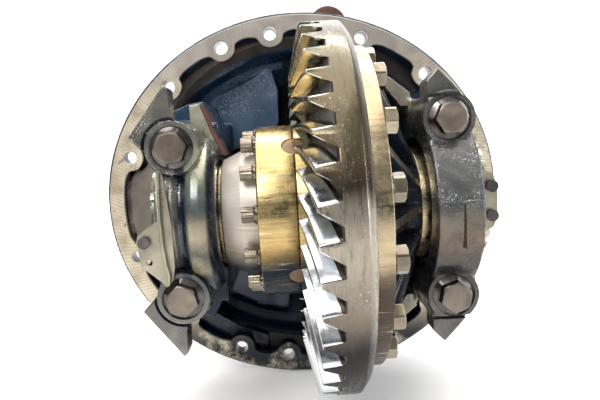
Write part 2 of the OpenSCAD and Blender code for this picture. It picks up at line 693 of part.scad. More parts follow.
module pinion_shim() {
    color("silver") difference() {
        y_cyl(102, pinion_x, 0, nose_y, cage_flange_y);
        y_cyl(nose_r + 0.1, pinion_x, 0, 100, 220);
        for (a = cage_turns) about_pinion(a) translate([cage_bolt_pcr, 150, 0])
            rotate([-90, 0, 0]) cylinder(r = 6.6, h = 80);
    }
}
module pinion_cage_bolts() {
    color("gray") for (a = cage_turns) about_pinion(a)
        translate([cage_bolt_pcr, cage_flange_y + cage_flange_t, 0]) rotate([-90, 0, 0]) {
            cylinder(r = 11.5, h = 2);
            hexagon(18, 9);
            translate([0, 0, -46]) cylinder(r = 6 - fit, h = 46);
        }
}
module oil_seal() {
    color("black") y_spin([[hub_r + 0.3, 204], [seal_r - fit, 204], [seal_r - fit, 213.5],
        [hub_r + 0.3, 213.5]]);
}
module input_flange() {
    color("dimgray") difference() {
        y_spin([[0, 199.2], [hub_r, 199.2], [hub_r, 228], [46, 238], [58, 262], [90, 268], [90, 282],
            [55, 282], [55, 279], [0, 279]]);
        y_cyl(flange_seat_r, pinion_x, 0, 190, 290);
        y_cyl(40, pinion_x, 0, 256, 290);
        for (a = [0 : 45 : 315]) about_pinion(a) translate([77.75, 260, 0])
            rotate([-90, 0, 0]) cylinder(r = 7, h = 30);
    }
}
module pinion_washer() {
    color("silver") y_spin([[thread_r + 0.3, 256.1], [34, 256.1], [34, 260], [thread_r + 0.3, 260]]);
}
module pinion_nut() {
    color("silver") difference() {
        translate([pinion_x, 260.1, 0]) rotate([-90, 0, 0]) hexagon(55, 20);
        y_cyl(thread_r + fit, pinion_x, 0, 250, 290);
    }
}
module dust_deflector() {
    color("silver") y_spin([[hub_r + fit, 220], [62, 220], [72.5, 211], [74, 211], [63.5, 222],
        [hub_r + fit, 222]]);
}

carrier_housing();
bearing_cap_left();
bearing_cap_right();
cap_bolts_left();
cap_bolts_right();
cap_dowels();
adjuster_ring_left();
adjuster_ring_right();
lock_plate_left();
lock_plate_right();
lock_plate_screws();
side_bearing_cup_left();
side_bearing_cup_right();
pinion_cage();
pinion_cage_bolts();
pinion_shim();
pinion_bearing_cup_inner();
pinion_bearing_cup_outer();
oil_seal();
crown_wheel();
case_half_left();
case_half_right();
case_bolts();
crown_wheel_bolts();
cross_shaft();
side_bearing_cone_left();
side_bearing_cone_right();
side_thrust_washers();
spider_thrust_washers();
drive_pinion();
pinion_bearing_cone_inner();
pinion_bearing_cone_outer();
pinion_spacer();
input_flange();
pinion_washer();
pinion_nut();
dust_deflector();
side_gear_left();
side_gear_right();
spider_gear_1();
spider_gear_2();
spider_gear_3();
spider_gear_4();
side_rollers_left();
side_roller_cage_left();
side_rollers_right();
side_roller_cage_right();
pinion_rollers_inner();
pinion_roller_cage_inner();
pinion_rollers_outer();
pinion_roller_cage_outer();
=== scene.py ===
"""Differential gear assembly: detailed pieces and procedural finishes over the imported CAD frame."""
import math

import bmesh
import bpy
import numpy as np
from mathutils import Matrix, Vector


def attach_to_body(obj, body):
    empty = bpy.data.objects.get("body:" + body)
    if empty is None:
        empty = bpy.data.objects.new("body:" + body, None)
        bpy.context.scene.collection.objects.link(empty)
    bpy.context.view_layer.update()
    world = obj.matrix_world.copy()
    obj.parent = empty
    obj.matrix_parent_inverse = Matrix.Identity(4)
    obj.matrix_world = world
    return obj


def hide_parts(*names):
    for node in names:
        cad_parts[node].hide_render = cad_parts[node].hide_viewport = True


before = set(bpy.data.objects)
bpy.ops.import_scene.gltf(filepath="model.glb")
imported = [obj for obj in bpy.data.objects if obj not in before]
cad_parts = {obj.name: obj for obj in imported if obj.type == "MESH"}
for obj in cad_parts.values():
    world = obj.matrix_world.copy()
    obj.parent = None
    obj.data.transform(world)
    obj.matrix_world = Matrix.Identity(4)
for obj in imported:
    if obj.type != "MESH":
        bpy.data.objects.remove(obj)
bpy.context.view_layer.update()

MM = 0.001
TAU = 2 * math.pi
scene = bpy.context.scene

# ---------- dimensions of the real object, in millimetres and degrees ----------
AXIS_Y, PINION_X, CROSS_X = -110.0, -50.0, -14.0
HOLE_R, BOSS_R = 8.75, 17.5
HOLES = [(sx * x, sz * z) for x, z in ((171, 157), (33, 219), (229, 67)) for sx in (1, -1) for sz in (1, -1)]
HOLES += [(x, sz * z) for x, z in ((-98, 204), (87, 208)) for sz in (1, -1)]
FACE_RX, FACE_RZ, INNER_RX, INNER_RZ = 260.0, 242.0, 241.0, 223.0
LEFT_BOLT, RIGHT_BOLT, SEAT_Y = (-137.0, 78.0), (146.0, 92.5), -177.0
WHEEL_R, TOE_R, WHEEL_BORE, WHEEL_BACK = 205.0, 148.0, 118.0, 47.0
WHEEL_TEETH, PINION_TEETH, PITCH_R, SPIRAL = 41, 11, 203.6, 35.0
WHEEL_BOLTS, WHEEL_BOLT_PCR, WHEEL_TURN = 16, 162, 10.5
CASE_BOLTS, CASE_BOLT_PCR, CASE_TURN = 12, 84, 25
CAGE_BOLTS, CAGE_BOLT_PCR, CAGE_TURN = 8, 88, 22.5
FLANGE_HOLES, FLANGE_HOLE_PCR = 8, 77.75
PIN_TURNS = (40, 130, 220, 310)


# ---------- mesh helpers ----------
def finish_mesh(ob, angle):
    """Outward normals, and smooth shading broken at edges sharper than the angle."""
    bm = bmesh.new()
    bm.from_mesh(ob.data)
    bmesh.ops.remove_doubles(bm, verts=bm.verts, dist=1e-6)
    bmesh.ops.recalc_face_normals(bm, faces=bm.faces)
    bm.to_mesh(ob.data)
    bm.free()
    shade(ob, angle)
    return ob


def shade(ob, angle):
    ob.data.shade_smooth()
    ob.data.set_sharp_from_angle(angle=math.radians(angle))


def mesh_object(name, verts, faces, mats=(), index=None, angle=34):
    me = bpy.data.meshes.new(name)
    me.from_pydata((np.asarray(verts, float) * MM).tolist(), [], faces)
    for m in mats:
        me.materials.append(m)
    if index is not None:
        me.polygons.foreach_set("material_index", np.asarray(index, np.int32))
    ob = bpy.data.objects.new(name, me)
    scene.collection.objects.link(ob)
    return finish_mesh(ob, angle)


def rounded(points, radius, steps=3, keep_axis=True):
    """A closed outline with its corners turned into arcs."""
    out = []
    n = len(points)
    for i in range(n):
        p = np.array(points[i], float)
        a, b = np.array(points[i - 1], float) - p, np.array(points[(i + 1) % n], float) - p
        la, lb = np.linalg.norm(a), np.linalg.norm(b)
        turn = math.acos(max(-1, min(1, a @ b / (la * lb))))
        if (keep_axis and p[0] < 1e-6) or turn > math.radians(172):
            out.append(tuple(p))
            continue
        reach = min(radius / math.tan(turn / 2), 0.45 * la, 0.45 * lb)
        start, end = p + a / la * reach, p + b / lb * reach
        for k in range(steps + 1):
            t = k / steps
            out.append(tuple((1 - t) ** 2 * start + 2 * t * (1 - t) * p + t * t * end))
    return out


def circle(count, r, start=0.0):
    """(angle, r cos, r sin) for points spaced evenly from the start angle, which is in degrees."""
    for k in range(count):
        a = math.radians(start + 360.0 * k / count)
        yield a, r * math.cos(a), r * math.sin(a)


def spot(axis, centre, r, a, along):
    """A point at radius r and angle a about an axis through centre, at that place along it."""
    c, s = math.cos(a), math.sin(a)
    if axis == "x":
        return (along, centre[0] + r * c, centre[1] + r * s)
    return (centre[0] + r * c, along, centre[1] - r * s)


def spin(name, outline, axis="x", centre=(AXIS_Y, 0.0), seg=160, mats=(), round_to=0.8):
    """An outline of (radius, place along the axis) turned about the axis."""
    pts = rounded(outline, round_to) if round_to else outline
    n = len(pts)
    verts = [spot(axis, centre, r, TAU * j / seg, p) for j in range(seg) for r, p in pts]
    faces = [(j * n + i, j * n + (i + 1) % n, (j + 1) % seg * n + (i + 1) % n, (j + 1) % seg * n + i)
             for j in range(seg) for i in range(n)]
    return mesh_object(name, verts, faces, mats)


def cutter(outline, axis="x", centre=(AXIS_Y, 0.0), seg=96):
    """A sharp-edged turned tool for boolean."""
    return spin("cutter", outline, axis, centre, seg, round_to=0)


def rod(r, axis, centre, lo, hi, seg=64, mats=()):
    return spin("rod", [(0, lo), (r, lo), (r, hi), (0, hi)], axis, centre, seg, mats, 0)


def slab(name, front, back, mats=()):
    """A closed solid between two outlines of as many points."""
    n = len(front)
    faces = [tuple(range(n)), tuple(range(2 * n - 1, n - 1, -1))]
    faces += [(i, (i + 1) % n, n + (i + 1) % n, n + i) for i in range(n)]
    return mesh_object(name, front + back, faces, mats)


def prism(outline, y0, y1, mats=(), round_to=0.0):
    """An (x, z) outline extruded along Y."""
    pts = rounded(outline, round_to, 5, keep_axis=False) if round_to else outline
    return slab("prism", [(x, y0, z) for x, z in pts], [(x, y1, z) for x, z in pts], mats)


def box(lo, hi):
    return prism([(lo[0], lo[2]), (hi[0], lo[2]), (hi[0], hi[2]), (lo[0], hi[2])], lo[1], hi[1])


def bake(ob, angle=34):
    """Applies the modifiers."""
    dg = bpy.context.evaluated_depsgraph_get()
    me = bpy.data.meshes.new_from_object(ob.evaluated_get(dg), depsgraph=dg)
    ob.modifiers.clear()
    ob.data = me
    shade(ob, angle)
    return ob


def discard(*obs):
    for o in obs:
        bpy.data.objects.remove(o)


def combine(name, obs, mats=None, angle=34):
    """One object from several."""
    bm = bmesh.new()
    slots = []
    for o in obs:
        first = len(bm.faces)
        bm.from_mesh(o.data)
        own = list(o.data.materials)
        slots += [m for m in own if m not in slots]
        bm.faces.ensure_lookup_table()
        for f in bm.faces[first:]:
            f.material_index = slots.index(own[f.material_index]) if own else 0
    me = bpy.data.meshes.new(name)
    bm.to_mesh(me)
    bm.free()
    for m in mats if mats is not None else slots:
        me.materials.append(m)
    ob = bpy.data.objects.new(name, me)
    scene.collection.objects.link(ob)
    discard(*obs)
    shade(ob, angle)
    return ob


def boolean(ob, tools, operation="DIFFERENCE"):
    """Cuts or joins with closed tools, which are used up."""
    tools = list(tools)
    if operation == "DIFFERENCE" and len(tools) > 1:
        tools = [boolean(tools[0], tools[1:], "UNION")]
    for t in tools:
        m = ob.modifiers.new("cut", "BOOLEAN")
        m.operation, m.object, m.solver = operation, t, "MANIFOLD"
    bake(ob)
    discard(*tools)
    return drop_empty_slots(ob)


def drop_empty_slots(ob):
    """Cut faces without a material take the object's first one."""
    mats = list(ob.data.materials)
    kept = [m for m in mats if m]
    if kept and len(kept) < len(mats):
        index = np.zeros(len(ob.data.polygons), np.int32)
        ob.data.polygons.foreach_get("material_index", index)
        new = np.array([kept.index(m) if m else 0 for m in mats], np.int32)[index]
        ob.data.materials.clear()
        for m in kept:
            ob.data.materials.append(m)
        ob.data.polygons.foreach_set("material_index", new)
    return ob


def cast(name, solids, voxel, smooth, mats):
    """Solids fused into one casting with soft edges."""
    ob = combine(name, solids, mats=mats)
    m = ob.modifiers.new("fuse", "REMESH")
    m.mode, m.voxel_size = "VOXEL", voxel * MM
    s = ob.modifiers.new("soften", "SMOOTH")
    s.factor, s.iterations = 0.5, smooth
    return bake(ob, 60)


def polygon_table(ob):
    """Centres in millimetres and normals of the polygons, each as rows x, y, z."""
    rows = []
    for field, unit in (("center", MM), ("normal", 1.0)):
        flat = np.zeros(len(ob.data.polygons) * 3, np.float32)
        ob.data.polygons.foreach_get(field, flat)
        rows.append((flat.reshape(-1, 3) / unit).T)
    return rows


def hex_bolt(name, across, height, flange_r, flange_h, mats, points=6):
    """Bolt head standing on +Z at the origin: flange, flats and chamfered top; mats are top, side, flange."""
    seg, step = 96, TAU / points
    apothem, chamfer_r = across / 2, across / 2 * 0.97
    verts, faces, index = [], [], []
    for j in range(seg):
        a = TAU * j / seg
        if points == 6:
            r = min(apothem / math.cos(a % step - step / 2), across / math.sqrt(3) - 0.5)
        else:
            r = apothem * (1.0 - 0.075 * (0.5 + 0.5 * math.cos(points * a)))
        top = height - max(0.0, r - chamfer_r) * 0.62
        column = [(flange_r * 0.97, 0.0), (flange_r, 0.35), (flange_r, flange_h * 0.45),
                  (r + 1.0, flange_h + 0.25), (r + 0.2, flange_h + 0.8), (r, flange_h + 1.4),
                  (r, top - 0.25), (r - 0.35, top), (chamfer_r * 0.96, height), (chamfer_r * 0.93, height + 0.02)]
        verts += [(x * math.cos(a), x * math.sin(a), z) for x, z in column]
    n = len(column)
    for j in range(seg):
        k = (j + 1) % seg
        for i in range(n - 1):
            faces.append((j * n + i, k * n + i, k * n + i + 1, j * n + i + 1))
            index.append(2 if i < 4 else (1 if i < 7 else 0))
    faces.append(tuple(j * n + n - 1 for j in range(seg)))
    faces.append(tuple(j * n for j in reversed(range(seg))))
    return mesh_object(name, verts, faces, mats, index + [0, 2], 28)


def copies(ob, name, matrices):
    """One object with a copy of the mesh at each matrix."""
    out = []
    for m in matrices:
        o = bpy.data.objects.new(name, ob.data.copy())
        scene.collection.objects.link(o)
        o.data.transform(m)
        out.append(o)
    discard(ob)
    return combine(name, out, angle=28)


def moved(x, y, z):
    return Matrix.Translation((x * MM, y * MM, z * MM))


def turned(degrees, axis):
    return Matrix.Rotation(math.radians(degrees), 4, axis)


# ---------- finishes ----------
class Finish:
    """Builds one procedural material on object coordinates, in metres."""

    def __init__(self, name):
        self.mat = bpy.data.materials.new(name)
        self.mat.use_nodes = True
        self.nt = self.mat.node_tree
        self.nt.nodes.clear()
        out = self.nt.nodes.new("ShaderNodeOutputMaterial")
        self.bsdf = self.nt.nodes.new("ShaderNodeBsdfPrincipled")
        self.nt.links.new(self.bsdf.outputs[0], out.inputs["Surface"])
        self.coord = self.nt.nodes.new("ShaderNodeTexCoord").outputs["Object"]
        self.normal = None

    def put(self, socket, value):
        if isinstance(value, bpy.types.NodeSocket):
            self.nt.links.new(value, socket)
        else:
            if isinstance(value, tuple) and len(value) == 3 and socket.type == "RGBA":
                value = (*value, 1.0)
            socket.default_value = value

    def set(self, **values):
        for k, v in values.items():
            self.put(self.bsdf.inputs[k.replace("_", " ")], v)

    def math(self, operation, a, b=0.0):
        n = self.nt.nodes.new("ShaderNodeMath")
        n.operation = operation
        self.put(n.inputs[0], a)
        self.put(n.inputs[1], b)
        return n.outputs[0]

    def chain(self, operation, values):
        out = values[0]
        for v in values[1:]:
            out = self.math(operation, out, v)
        return out

    def times(self, *values):
        return self.chain("MULTIPLY", values)

    def plus(self, *values):
        return self.chain("ADD", values)

    def hypot(self, a, b):
        return self.math("SQRT", self.plus(self.times(a, a), self.times(b, b)))

    def axes(self):
        n = self.nt.nodes.new("ShaderNodeSeparateXYZ")
        self.put(n.inputs[0], self.coord)
        return n.outputs

    def vector(self, x, y, z):
        n = self.nt.nodes.new("ShaderNodeCombineXYZ")
        for s, v in zip(n.inputs, (x, y, z)):
            self.put(s, v)
        return n.outputs[0]

    def noise(self, scale, detail=4.0, rough=0.55, vector=None, bend=0.0):
        n = self.nt.nodes.new("ShaderNodeTexNoise")
        self.put(n.inputs["Vector"], vector or self.coord)
        for k, v in (("Scale", scale), ("Detail", detail), ("Roughness", rough), ("Distortion", bend)):
            n.inputs[k].default_value = v
        return n.outputs["Fac"]

    def wander(self, amount, *noise, **more):
        """Noise about zero, times the amount."""
        return self.times(self.math("SUBTRACT", self.noise(*noise, **more), 0.5), amount)

    def cells(self, scale):
        n = self.nt.nodes.new("ShaderNodeTexVoronoi")
        self.put(n.inputs["Vector"], self.coord)
        n.inputs["Scale"].default_value = scale
        return n.outputs["Distance"]

    def ramp(self, fac, *stops):
        """stops are (place, colour or grey)."""
        n = self.nt.nodes.new("ShaderNodeValToRGB")
        e = n.color_ramp.elements
        e.remove(e[1])
        e[0].position = stops[0][0]
        for k, (p, c) in enumerate(stops):
            el = e.new(p) if k else e[0]
            el.color = (*c, 1.0) if isinstance(c, tuple) else (c, c, c, 1.0)
        self.put(n.inputs[0], fac)
        return n.outputs[0]

    def mix(self, fac, a, b, how="MIX"):
        n = self.nt.nodes.new("ShaderNodeMix")
        n.data_type, n.blend_type = "RGBA", how
        for i, v in ((0, fac), (6, a), (7, b)):
            self.put(n.inputs[i], v)
        return n.outputs[2]

    def tint(self, colour, by):
        return self.mix(1.0, colour, by, "MULTIPLY")

    def span(self, value, lo, hi, to_lo=0.0, to_hi=1.0, kind="SMOOTHSTEP"):
        n = self.nt.nodes.new("ShaderNodeMapRange")
        n.interpolation_type = kind
        for i, v in enumerate((value, lo, hi, to_lo, to_hi)):
            self.put(n.inputs[i], v)
        return n.outputs[0]

    def level(self, value, lo, hi):
        return self.span(value, lo, hi, kind="LINEAR")

    def bump(self, height, depth, strength):
        """depth is in millimetres."""
        n = self.nt.nodes.new("ShaderNodeBump")
        n.inputs["Strength"].default_value, n.inputs["Distance"].default_value = strength, depth * MM
        self.put(n.inputs["Height"], height)
        if self.normal is not None:
            self.put(n.inputs["Normal"], self.normal)
        self.normal = n.outputs[0]
        self.put(self.bsdf.inputs["Normal"], self.normal)

    def polar(self, axis):
        """(angle, radius, place along) about the crown wheel axis "x" or the flange centre "y"."""
        x, y, z = self.axes()
        if axis == "x":
            u, w, along = self.math("SUBTRACT", y, AXIS_Y * MM), z, x
        else:
            u, w, along = x, z, y
        return self.math("ARCTAN2", w, u), self.hypot(u, w), along


def dimmed(colour, share):
    return tuple(c * share for c in colour)


def cast_finish(name, dark, mid, light, metallic=0.4, rough=(0.22, 0.5), grain=260.0, depth=0.5, coat=0.5,
                painted_shade=None, painted_glints=None, bands=None, painted_depth_shade=None):
    """Oily sand-cast iron: blotches of oil, a coarse skin and fine grit. painted_shade is (low colour,
    high colour, z from, z to), painted shade darker towards the bottom; painted_glints (z from, z to, amount),
    near-white painted glints; bands a list of (z, colour); painted_depth_shade (y from, y to, grey), painted shade
    darker further in along y."""
    f = Finish(name)
    colour = f.ramp(f.noise(14.0, 6.0, 0.62, bend=0.6), (0.3, dark), (0.52, mid), (0.78, light))
    _, y, z = f.axes()
    # painted shade: the colour is darker towards the bottom
    if painted_shade:
        low, high, z0, z1 = painted_shade
        colour = f.tint(colour, f.ramp(f.span(z, z0 * MM, z1 * MM), (0.0, low), (1.0, high)))
    # painted shade: the colour is darker further in along y
    if painted_depth_shade:
        colour = f.tint(colour, f.ramp(f.span(y, painted_depth_shade[0] * MM, painted_depth_shade[1] * MM), (0.0, 1.0), (1.0, painted_depth_shade[2])))
    if bands:
        reach = 110
        stops = [((place + reach) / (2 * reach), c) for place, c in bands]
        height = f.level(f.plus(z, f.wander(0.03, 30.0, 4.0)), -reach * MM, reach * MM)
        colour = f.tint(colour, f.ramp(height, *stops))
    colour = f.mix(f.span(f.noise(grain * 4, 3.0, 0.6), 0.55, 0.8, 0.0, 0.35), colour, light)
    # painted glints: near-white dots within a band of height
    if painted_glints:
        lo, hi, amount = painted_glints
        zone = f.times(f.span(z, (lo - 14) * MM, (lo + 8) * MM), f.span(z, (hi + 14) * MM, (hi - 8) * MM),
                       f.span(f.noise(26.0, 3.0), 0.42, 0.58))
        glint_dots = f.times(f.span(f.noise(700.0, 2.0, 0.5), 0.57, 0.66), zone)
        colour = f.mix(f.times(glint_dots, amount), colour, (0.86, 0.90, 0.92))
    wet = f.noise(30.0, 5.0, 0.6, bend=0.4)
    f.set(Base_Color=colour, Metallic=metallic, Roughness=f.span(wet, 0.35, 0.68, *rough),
          Coat_Weight=f.span(wet, 0.3, 0.6, coat, coat * 0.25), Coat_Roughness=0.12)
    f.bump(f.noise(60.0, 4.0, 0.5), depth * 2.4, 0.5)
    f.bump(f.noise(grain, 5.0, 0.65), depth, 0.8)
    f.bump(f.cells(grain * 2.2), depth * 0.35, 0.6)
    return f.mat


def steel_finish(name, dark, mid, light, metallic=0.9, rough=(0.2, 0.42), axis=None, lines=900.0, coat=0.3,
                 grit=0.02):
    """Machined steel with a film of oil; axis gives turned lines about it."""
    f = Finish(name)
    colour = f.ramp(f.noise(22.0, 6.0, 0.6, bend=0.5), (0.3, dark), (0.5, mid), (0.72, light))
    colour = f.mix(f.span(f.noise(900.0, 3.0, 0.6), 0.55, 0.75, 0.0, 0.3), colour, dark)
    f.set(Base_Color=colour, Metallic=metallic, Roughness=f.span(f.noise(48.0, 5.0, 0.65), 0.3, 0.7, *rough),
          Coat_Weight=coat, Coat_Roughness=0.08)
    if axis:
        angle, radius, along = f.polar(axis)
        turned_lines = f.vector(f.times(along, lines), f.times(radius, lines), f.times(angle, 2.0))
        f.bump(f.noise(1.0, 3.0, 0.6, vector=turned_lines), 0.06, 0.5)
    f.bump(f.noise(420.0, 4.0, 0.6), grit * 2, 0.6)
    f.bump(f.noise(38.0, 3.0, 0.5), 0.25, 0.25)
    return f.mat


def machined_face():
    """The flange's milled face: pale tan with short arcs across the rim, stained by oil."""
    f = Finish("milled_face")
    angle, radius, _ = f.polar("y")
    z = f.axes()[2]
    sweep = f.plus(f.times(angle, 340.0), f.times(f.noise(9.0, 3.0), 26.0), f.times(radius, 420.0))
    arcs = f.level(f.math("SINE", sweep), -1.0, 1.0)
    base = f.ramp(f.noise(26.0, 6.0, 0.6), (0.3, (0.34, 0.28, 0.20)), (0.5, (0.58, 0.51, 0.39)),
                  (0.72, (0.74, 0.68, 0.56)))
    base = f.mix(f.times(arcs, 0.34), base, (0.26, 0.20, 0.13))
    base = f.mix(f.times(f.span(z, 0.12, 0.21), 0.7), base, (0.27, 0.255, 0.26))
    low = f.times(f.span(z, -0.13, -0.205), f.span(f.noise(20.0, 6.0, 0.7), 0.34, 0.5))
    base = f.mix(low, base, (0.012, 0.018, 0.024))
    base = f.mix(f.span(f.noise(34.0, 8.0, 0.72, bend=1.2), 0.6, 0.7), base, (0.05, 0.04, 0.04))
    f.set(Base_Color=base, Metallic=0.45, Roughness=f.span(f.noise(60.0, 5.0, 0.6), 0.3, 0.7, 0.3, 0.55),
          Coat_Weight=0.15)
    f.bump(arcs, 0.08, 0.5)
    f.bump(f.noise(300.0, 5.0, 0.65), 0.15, 0.6)
    return f.mat


def golden_finish(name, low, mid, high, lines=320.0, contrast=1.0, metallic=1.0, rough=(0.16, 0.38)):
    """Turned steel under amber oil, its light and shade painted by height: blue-black, dull painted shade below
    and a brighter painted highlight band higher up; the streaks along the axis are painted reflections.
    """
    f = Finish(name)
    angle, radius, along = f.polar("x")
    # painted light and shade: colour, metalness, specular and coat by height make the bottom dark and dull and a
    # band above the middle bright
    height = f.plus(f.level(f.axes()[2], -0.105, 0.1), f.wander(0.2, 12.0, 5.0, 0.6))
    colour = f.ramp(height, (0.25, low), (0.31, dimmed(mid, 0.35)), (0.37, mid), (0.62, high), (1.0, mid))
    drawn = f.vector(f.times(along, 9.0), f.times(angle, 16.0), radius)
    film = f.noise(1.6, 6.0, 0.62, vector=drawn, bend=0.8)
    colour = f.mix(f.span(film, 0.5, 0.72, 0.0, 0.7 * contrast), colour, dimmed(mid, 0.36))
    colour = f.mix(f.span(film, 0.42, 0.28, 0.0, 0.5), colour, (0.80, 0.72, 0.50))
    # painted reflections: dark and bright streaks running along the axis
    painted_reflection_streak = f.noise(1.0, 5.0, 0.7, vector=f.vector(f.times(along, 5.0), f.times(angle, 46.0), 0.0))
    colour = f.mix(f.span(painted_reflection_streak, 0.56, 0.7, 0.0, 0.55 * contrast), colour, dimmed(mid, 0.3))
    colour = f.mix(f.span(painted_reflection_streak, 0.36, 0.3, 0.0, 0.6), colour, (0.95, 0.88, 0.55))
    f.set(Base_Color=colour, Metallic=f.span(height, 0.24, 0.36, 0.1, metallic),
          Roughness=f.span(f.noise(70.0, 5.0, 0.7), 0.3, 0.7, *rough),
          Specular_IOR_Level=f.span(height, 0.24, 0.36, 0.12, 0.5),
          Coat_Weight=f.span(height, 0.24, 0.36, 0.02, 0.15), Coat_Roughness=0.06)
    turned_lines = f.vector(f.times(along, lines * 6), f.times(radius, lines * 6), f.times(angle, 1.5))
    f.bump(f.noise(1.0, 2.0, 0.5, vector=turned_lines), 0.05, 0.45)
    f.bump(film, 0.7, 0.3)
    return f.mat


def wheel_rim_finish():
    """The crown wheel's turned rim, its light and shade painted by height: olive gold above, grey brown in the
    middle, nearly black below in painted shade; the white dots are painted glints.
    """
    f = Finish("wheel_rim")
    angle, _, along = f.polar("x")
    # painted light and shade: colour, metalness, specular and coat follow the height
    height = f.plus(f.level(f.axes()[2], -0.2, 0.2), f.wander(0.14, 9.0, 6.0, 0.65, bend=0.8))
    colour = f.ramp(height, (0.0, (0.004, 0.006, 0.008)), (0.24, (0.012, 0.010, 0.010)),
                    (0.30, (0.120, 0.100, 0.080)), (0.45, (0.290, 0.255, 0.205)), (0.56, (0.350, 0.315, 0.260)),
                    (0.61, (0.070, 0.048, 0.032)), (0.68, (0.110, 0.090, 0.054)), (1.0, (0.090, 0.076, 0.044)))
    drawn = f.vector(f.times(along, 260.0), f.times(angle, 7.0), 0.0)
    run = f.noise(1.0, 6.0, 0.7, vector=drawn, bend=0.5)
    colour = f.mix(f.span(run, 0.5, 0.75, 0.0, 0.6), colour, (0.03, 0.03, 0.03))
    # painted glints: near-white dots where the noise peaks
    glint_dots = f.noise(520.0, 3.0, 0.7)
    wet = f.times(f.span(glint_dots, 0.58, 0.7), f.span(f.noise(16.0, 4.0, 0.6), 0.5, 0.62))
    colour = f.mix(f.times(wet, 0.7), colour, (0.75, 0.74, 0.66))
    f.set(Base_Color=colour, Metallic=f.span(height, 0.22, 0.32, 0.05, 0.85),
          Roughness=f.span(run, 0.3, 0.7, 0.16, 0.42),
          Specular_IOR_Level=f.span(height, 0.22, 0.32, 0.12, 0.5),
          Coat_Weight=f.span(height, 0.22, 0.32, 0.02, 0.2), Coat_Roughness=0.07)
    f.bump(glint_dots, 0.3, 0.5)
    f.bump(run, 0.2, 0.3)
    return f.mat


def flank_finish(name, cool, warm, rough=(0.1, 0.26)):
    """Lapped tooth flanks: bright steel, amber in the upper half as a painted warm reflection."""
    f = Finish(name)
    # painted warm reflection: the amber grows towards the top
    warm_reflection = f.plus(f.level(f.axes()[2], -0.06, 0.16), f.wander(0.5, 18.0, 4.0))
    colour = f.mix(f.span(warm_reflection, 0.25, 0.85), cool, warm)
    smear = f.span(f.noise(40.0, 6.0, 0.7, bend=1.5), 0.6, 0.72, 0.0, 0.55)
    f.set(Base_Color=f.mix(smear, colour, dimmed(warm, 0.35)), Metallic=1.0,
          Roughness=f.span(f.noise(130.0, 5.0, 0.65), 0.3, 0.7, *rough), Coat_Weight=0.3, Coat_Roughness=0.04)
    f.bump(f.noise(70.0, 3.0, 0.5), 0.16, 0.35)
    f.bump(f.noise(700.0, 3.0, 0.5), 0.02, 0.4)
    return f.mat


def left_cap_finish():
    """The left cap: speckled grey shoulders and a glossy barrel; the barrel's bands by height, the two dark
    grooves beside it and the rings round the bolts are painted light and shade, and the white dots are painted
    glints.
    """
    f = Finish("cap_left_iron")
    x, _, z = f.axes()
    painted_shade_navy = (0.004, 0.012, 0.03)
    # painted light and shade on the barrel: dark below, lighter towards the top, with reflected bands between
    height = f.level(f.plus(z, f.wander(0.03, 34.0, 5.0)), -0.1, 0.1)
    barrel = f.ramp(height, (0.0, (0.02, 0.03, 0.05)), (0.2, (0.03, 0.04, 0.05)), (0.27, (0.26, 0.22, 0.14)),
                    (0.34, (0.05, 0.05, 0.04)), (0.44, (0.30, 0.25, 0.17)), (0.52, (0.24, 0.21, 0.15)),
                    (0.56, (0.07, 0.09, 0.10)), (0.7, (0.13, 0.15, 0.13)), (0.8, (0.30, 0.31, 0.21)),
                    (1.0, (0.42, 0.42, 0.32)))
    shoulder = f.ramp(f.noise(20.0, 6.0, 0.62, bend=0.6), (0.3, (0.05, 0.05, 0.047)),
                      (0.5, (0.125, 0.122, 0.11)), (0.75, (0.27, 0.26, 0.22)))
    aside = f.math("ABSOLUTE", z)
    near = f.times(f.span(x, -0.137, -0.131), f.span(aside, 0.088, 0.066))
    colour = f.mix(near, shoulder, barrel)
    # painted shade in the two grooves beside the barrel
    left = f.times(f.span(x, -0.138, -0.1345), f.span(x, -0.1245, -0.1275), f.span(aside, 0.066, 0.056))
    right = f.times(f.span(x, -0.1065, -0.103), f.span(aside, 0.08, 0.07))
    colour = f.mix(f.math("MAXIMUM", left, right), colour, painted_shade_navy)
    # painted shade in the ring turned round each bolt
    from_bolt = f.hypot(f.math("SUBTRACT", aside, LEFT_BOLT[1] * MM), f.plus(x, -LEFT_BOLT[0] * MM))
    cut = f.times(f.span(from_bolt, 0.0268, 0.028), f.span(from_bolt, 0.0318, 0.0302),
                  f.span(x, -0.132, -0.138))
    colour = f.mix(cut, colour, painted_shade_navy)
    grit = f.noise(1000.0, 3.0, 0.6)
    colour = f.mix(f.span(grit, 0.55, 0.75, 0.0, 0.3), colour, (0.42, 0.41, 0.36))
    colour = f.mix(f.span(grit, 0.45, 0.3, 0.0, 0.4), colour, (0.03, 0.03, 0.03))
    # painted glints: near-white dots in a band about mid-height
    glint_dots = f.times(f.span(f.noise(560.0, 2.0), 0.58, 0.66), f.span(f.noise(24.0, 4.0, 0.6), 0.5, 0.62),
                   f.span(z, -0.01, 0.015))
    colour = f.mix(f.times(glint_dots, 0.85), colour, (0.84, 0.88, 0.86))
    wet = f.noise(30.0, 5.0, 0.6, bend=0.4)
    f.set(Base_Color=colour, Metallic=0.45, Roughness=f.span(wet, 0.35, 0.68, 0.16, 0.42), Coat_Weight=0.55,
          Coat_Roughness=0.1)
    f.bump(f.noise(60.0, 4.0, 0.5), 0.9, 0.5)
    f.bump(f.noise(300.0, 5.0, 0.65), 0.4, 0.8)
    return f.mat


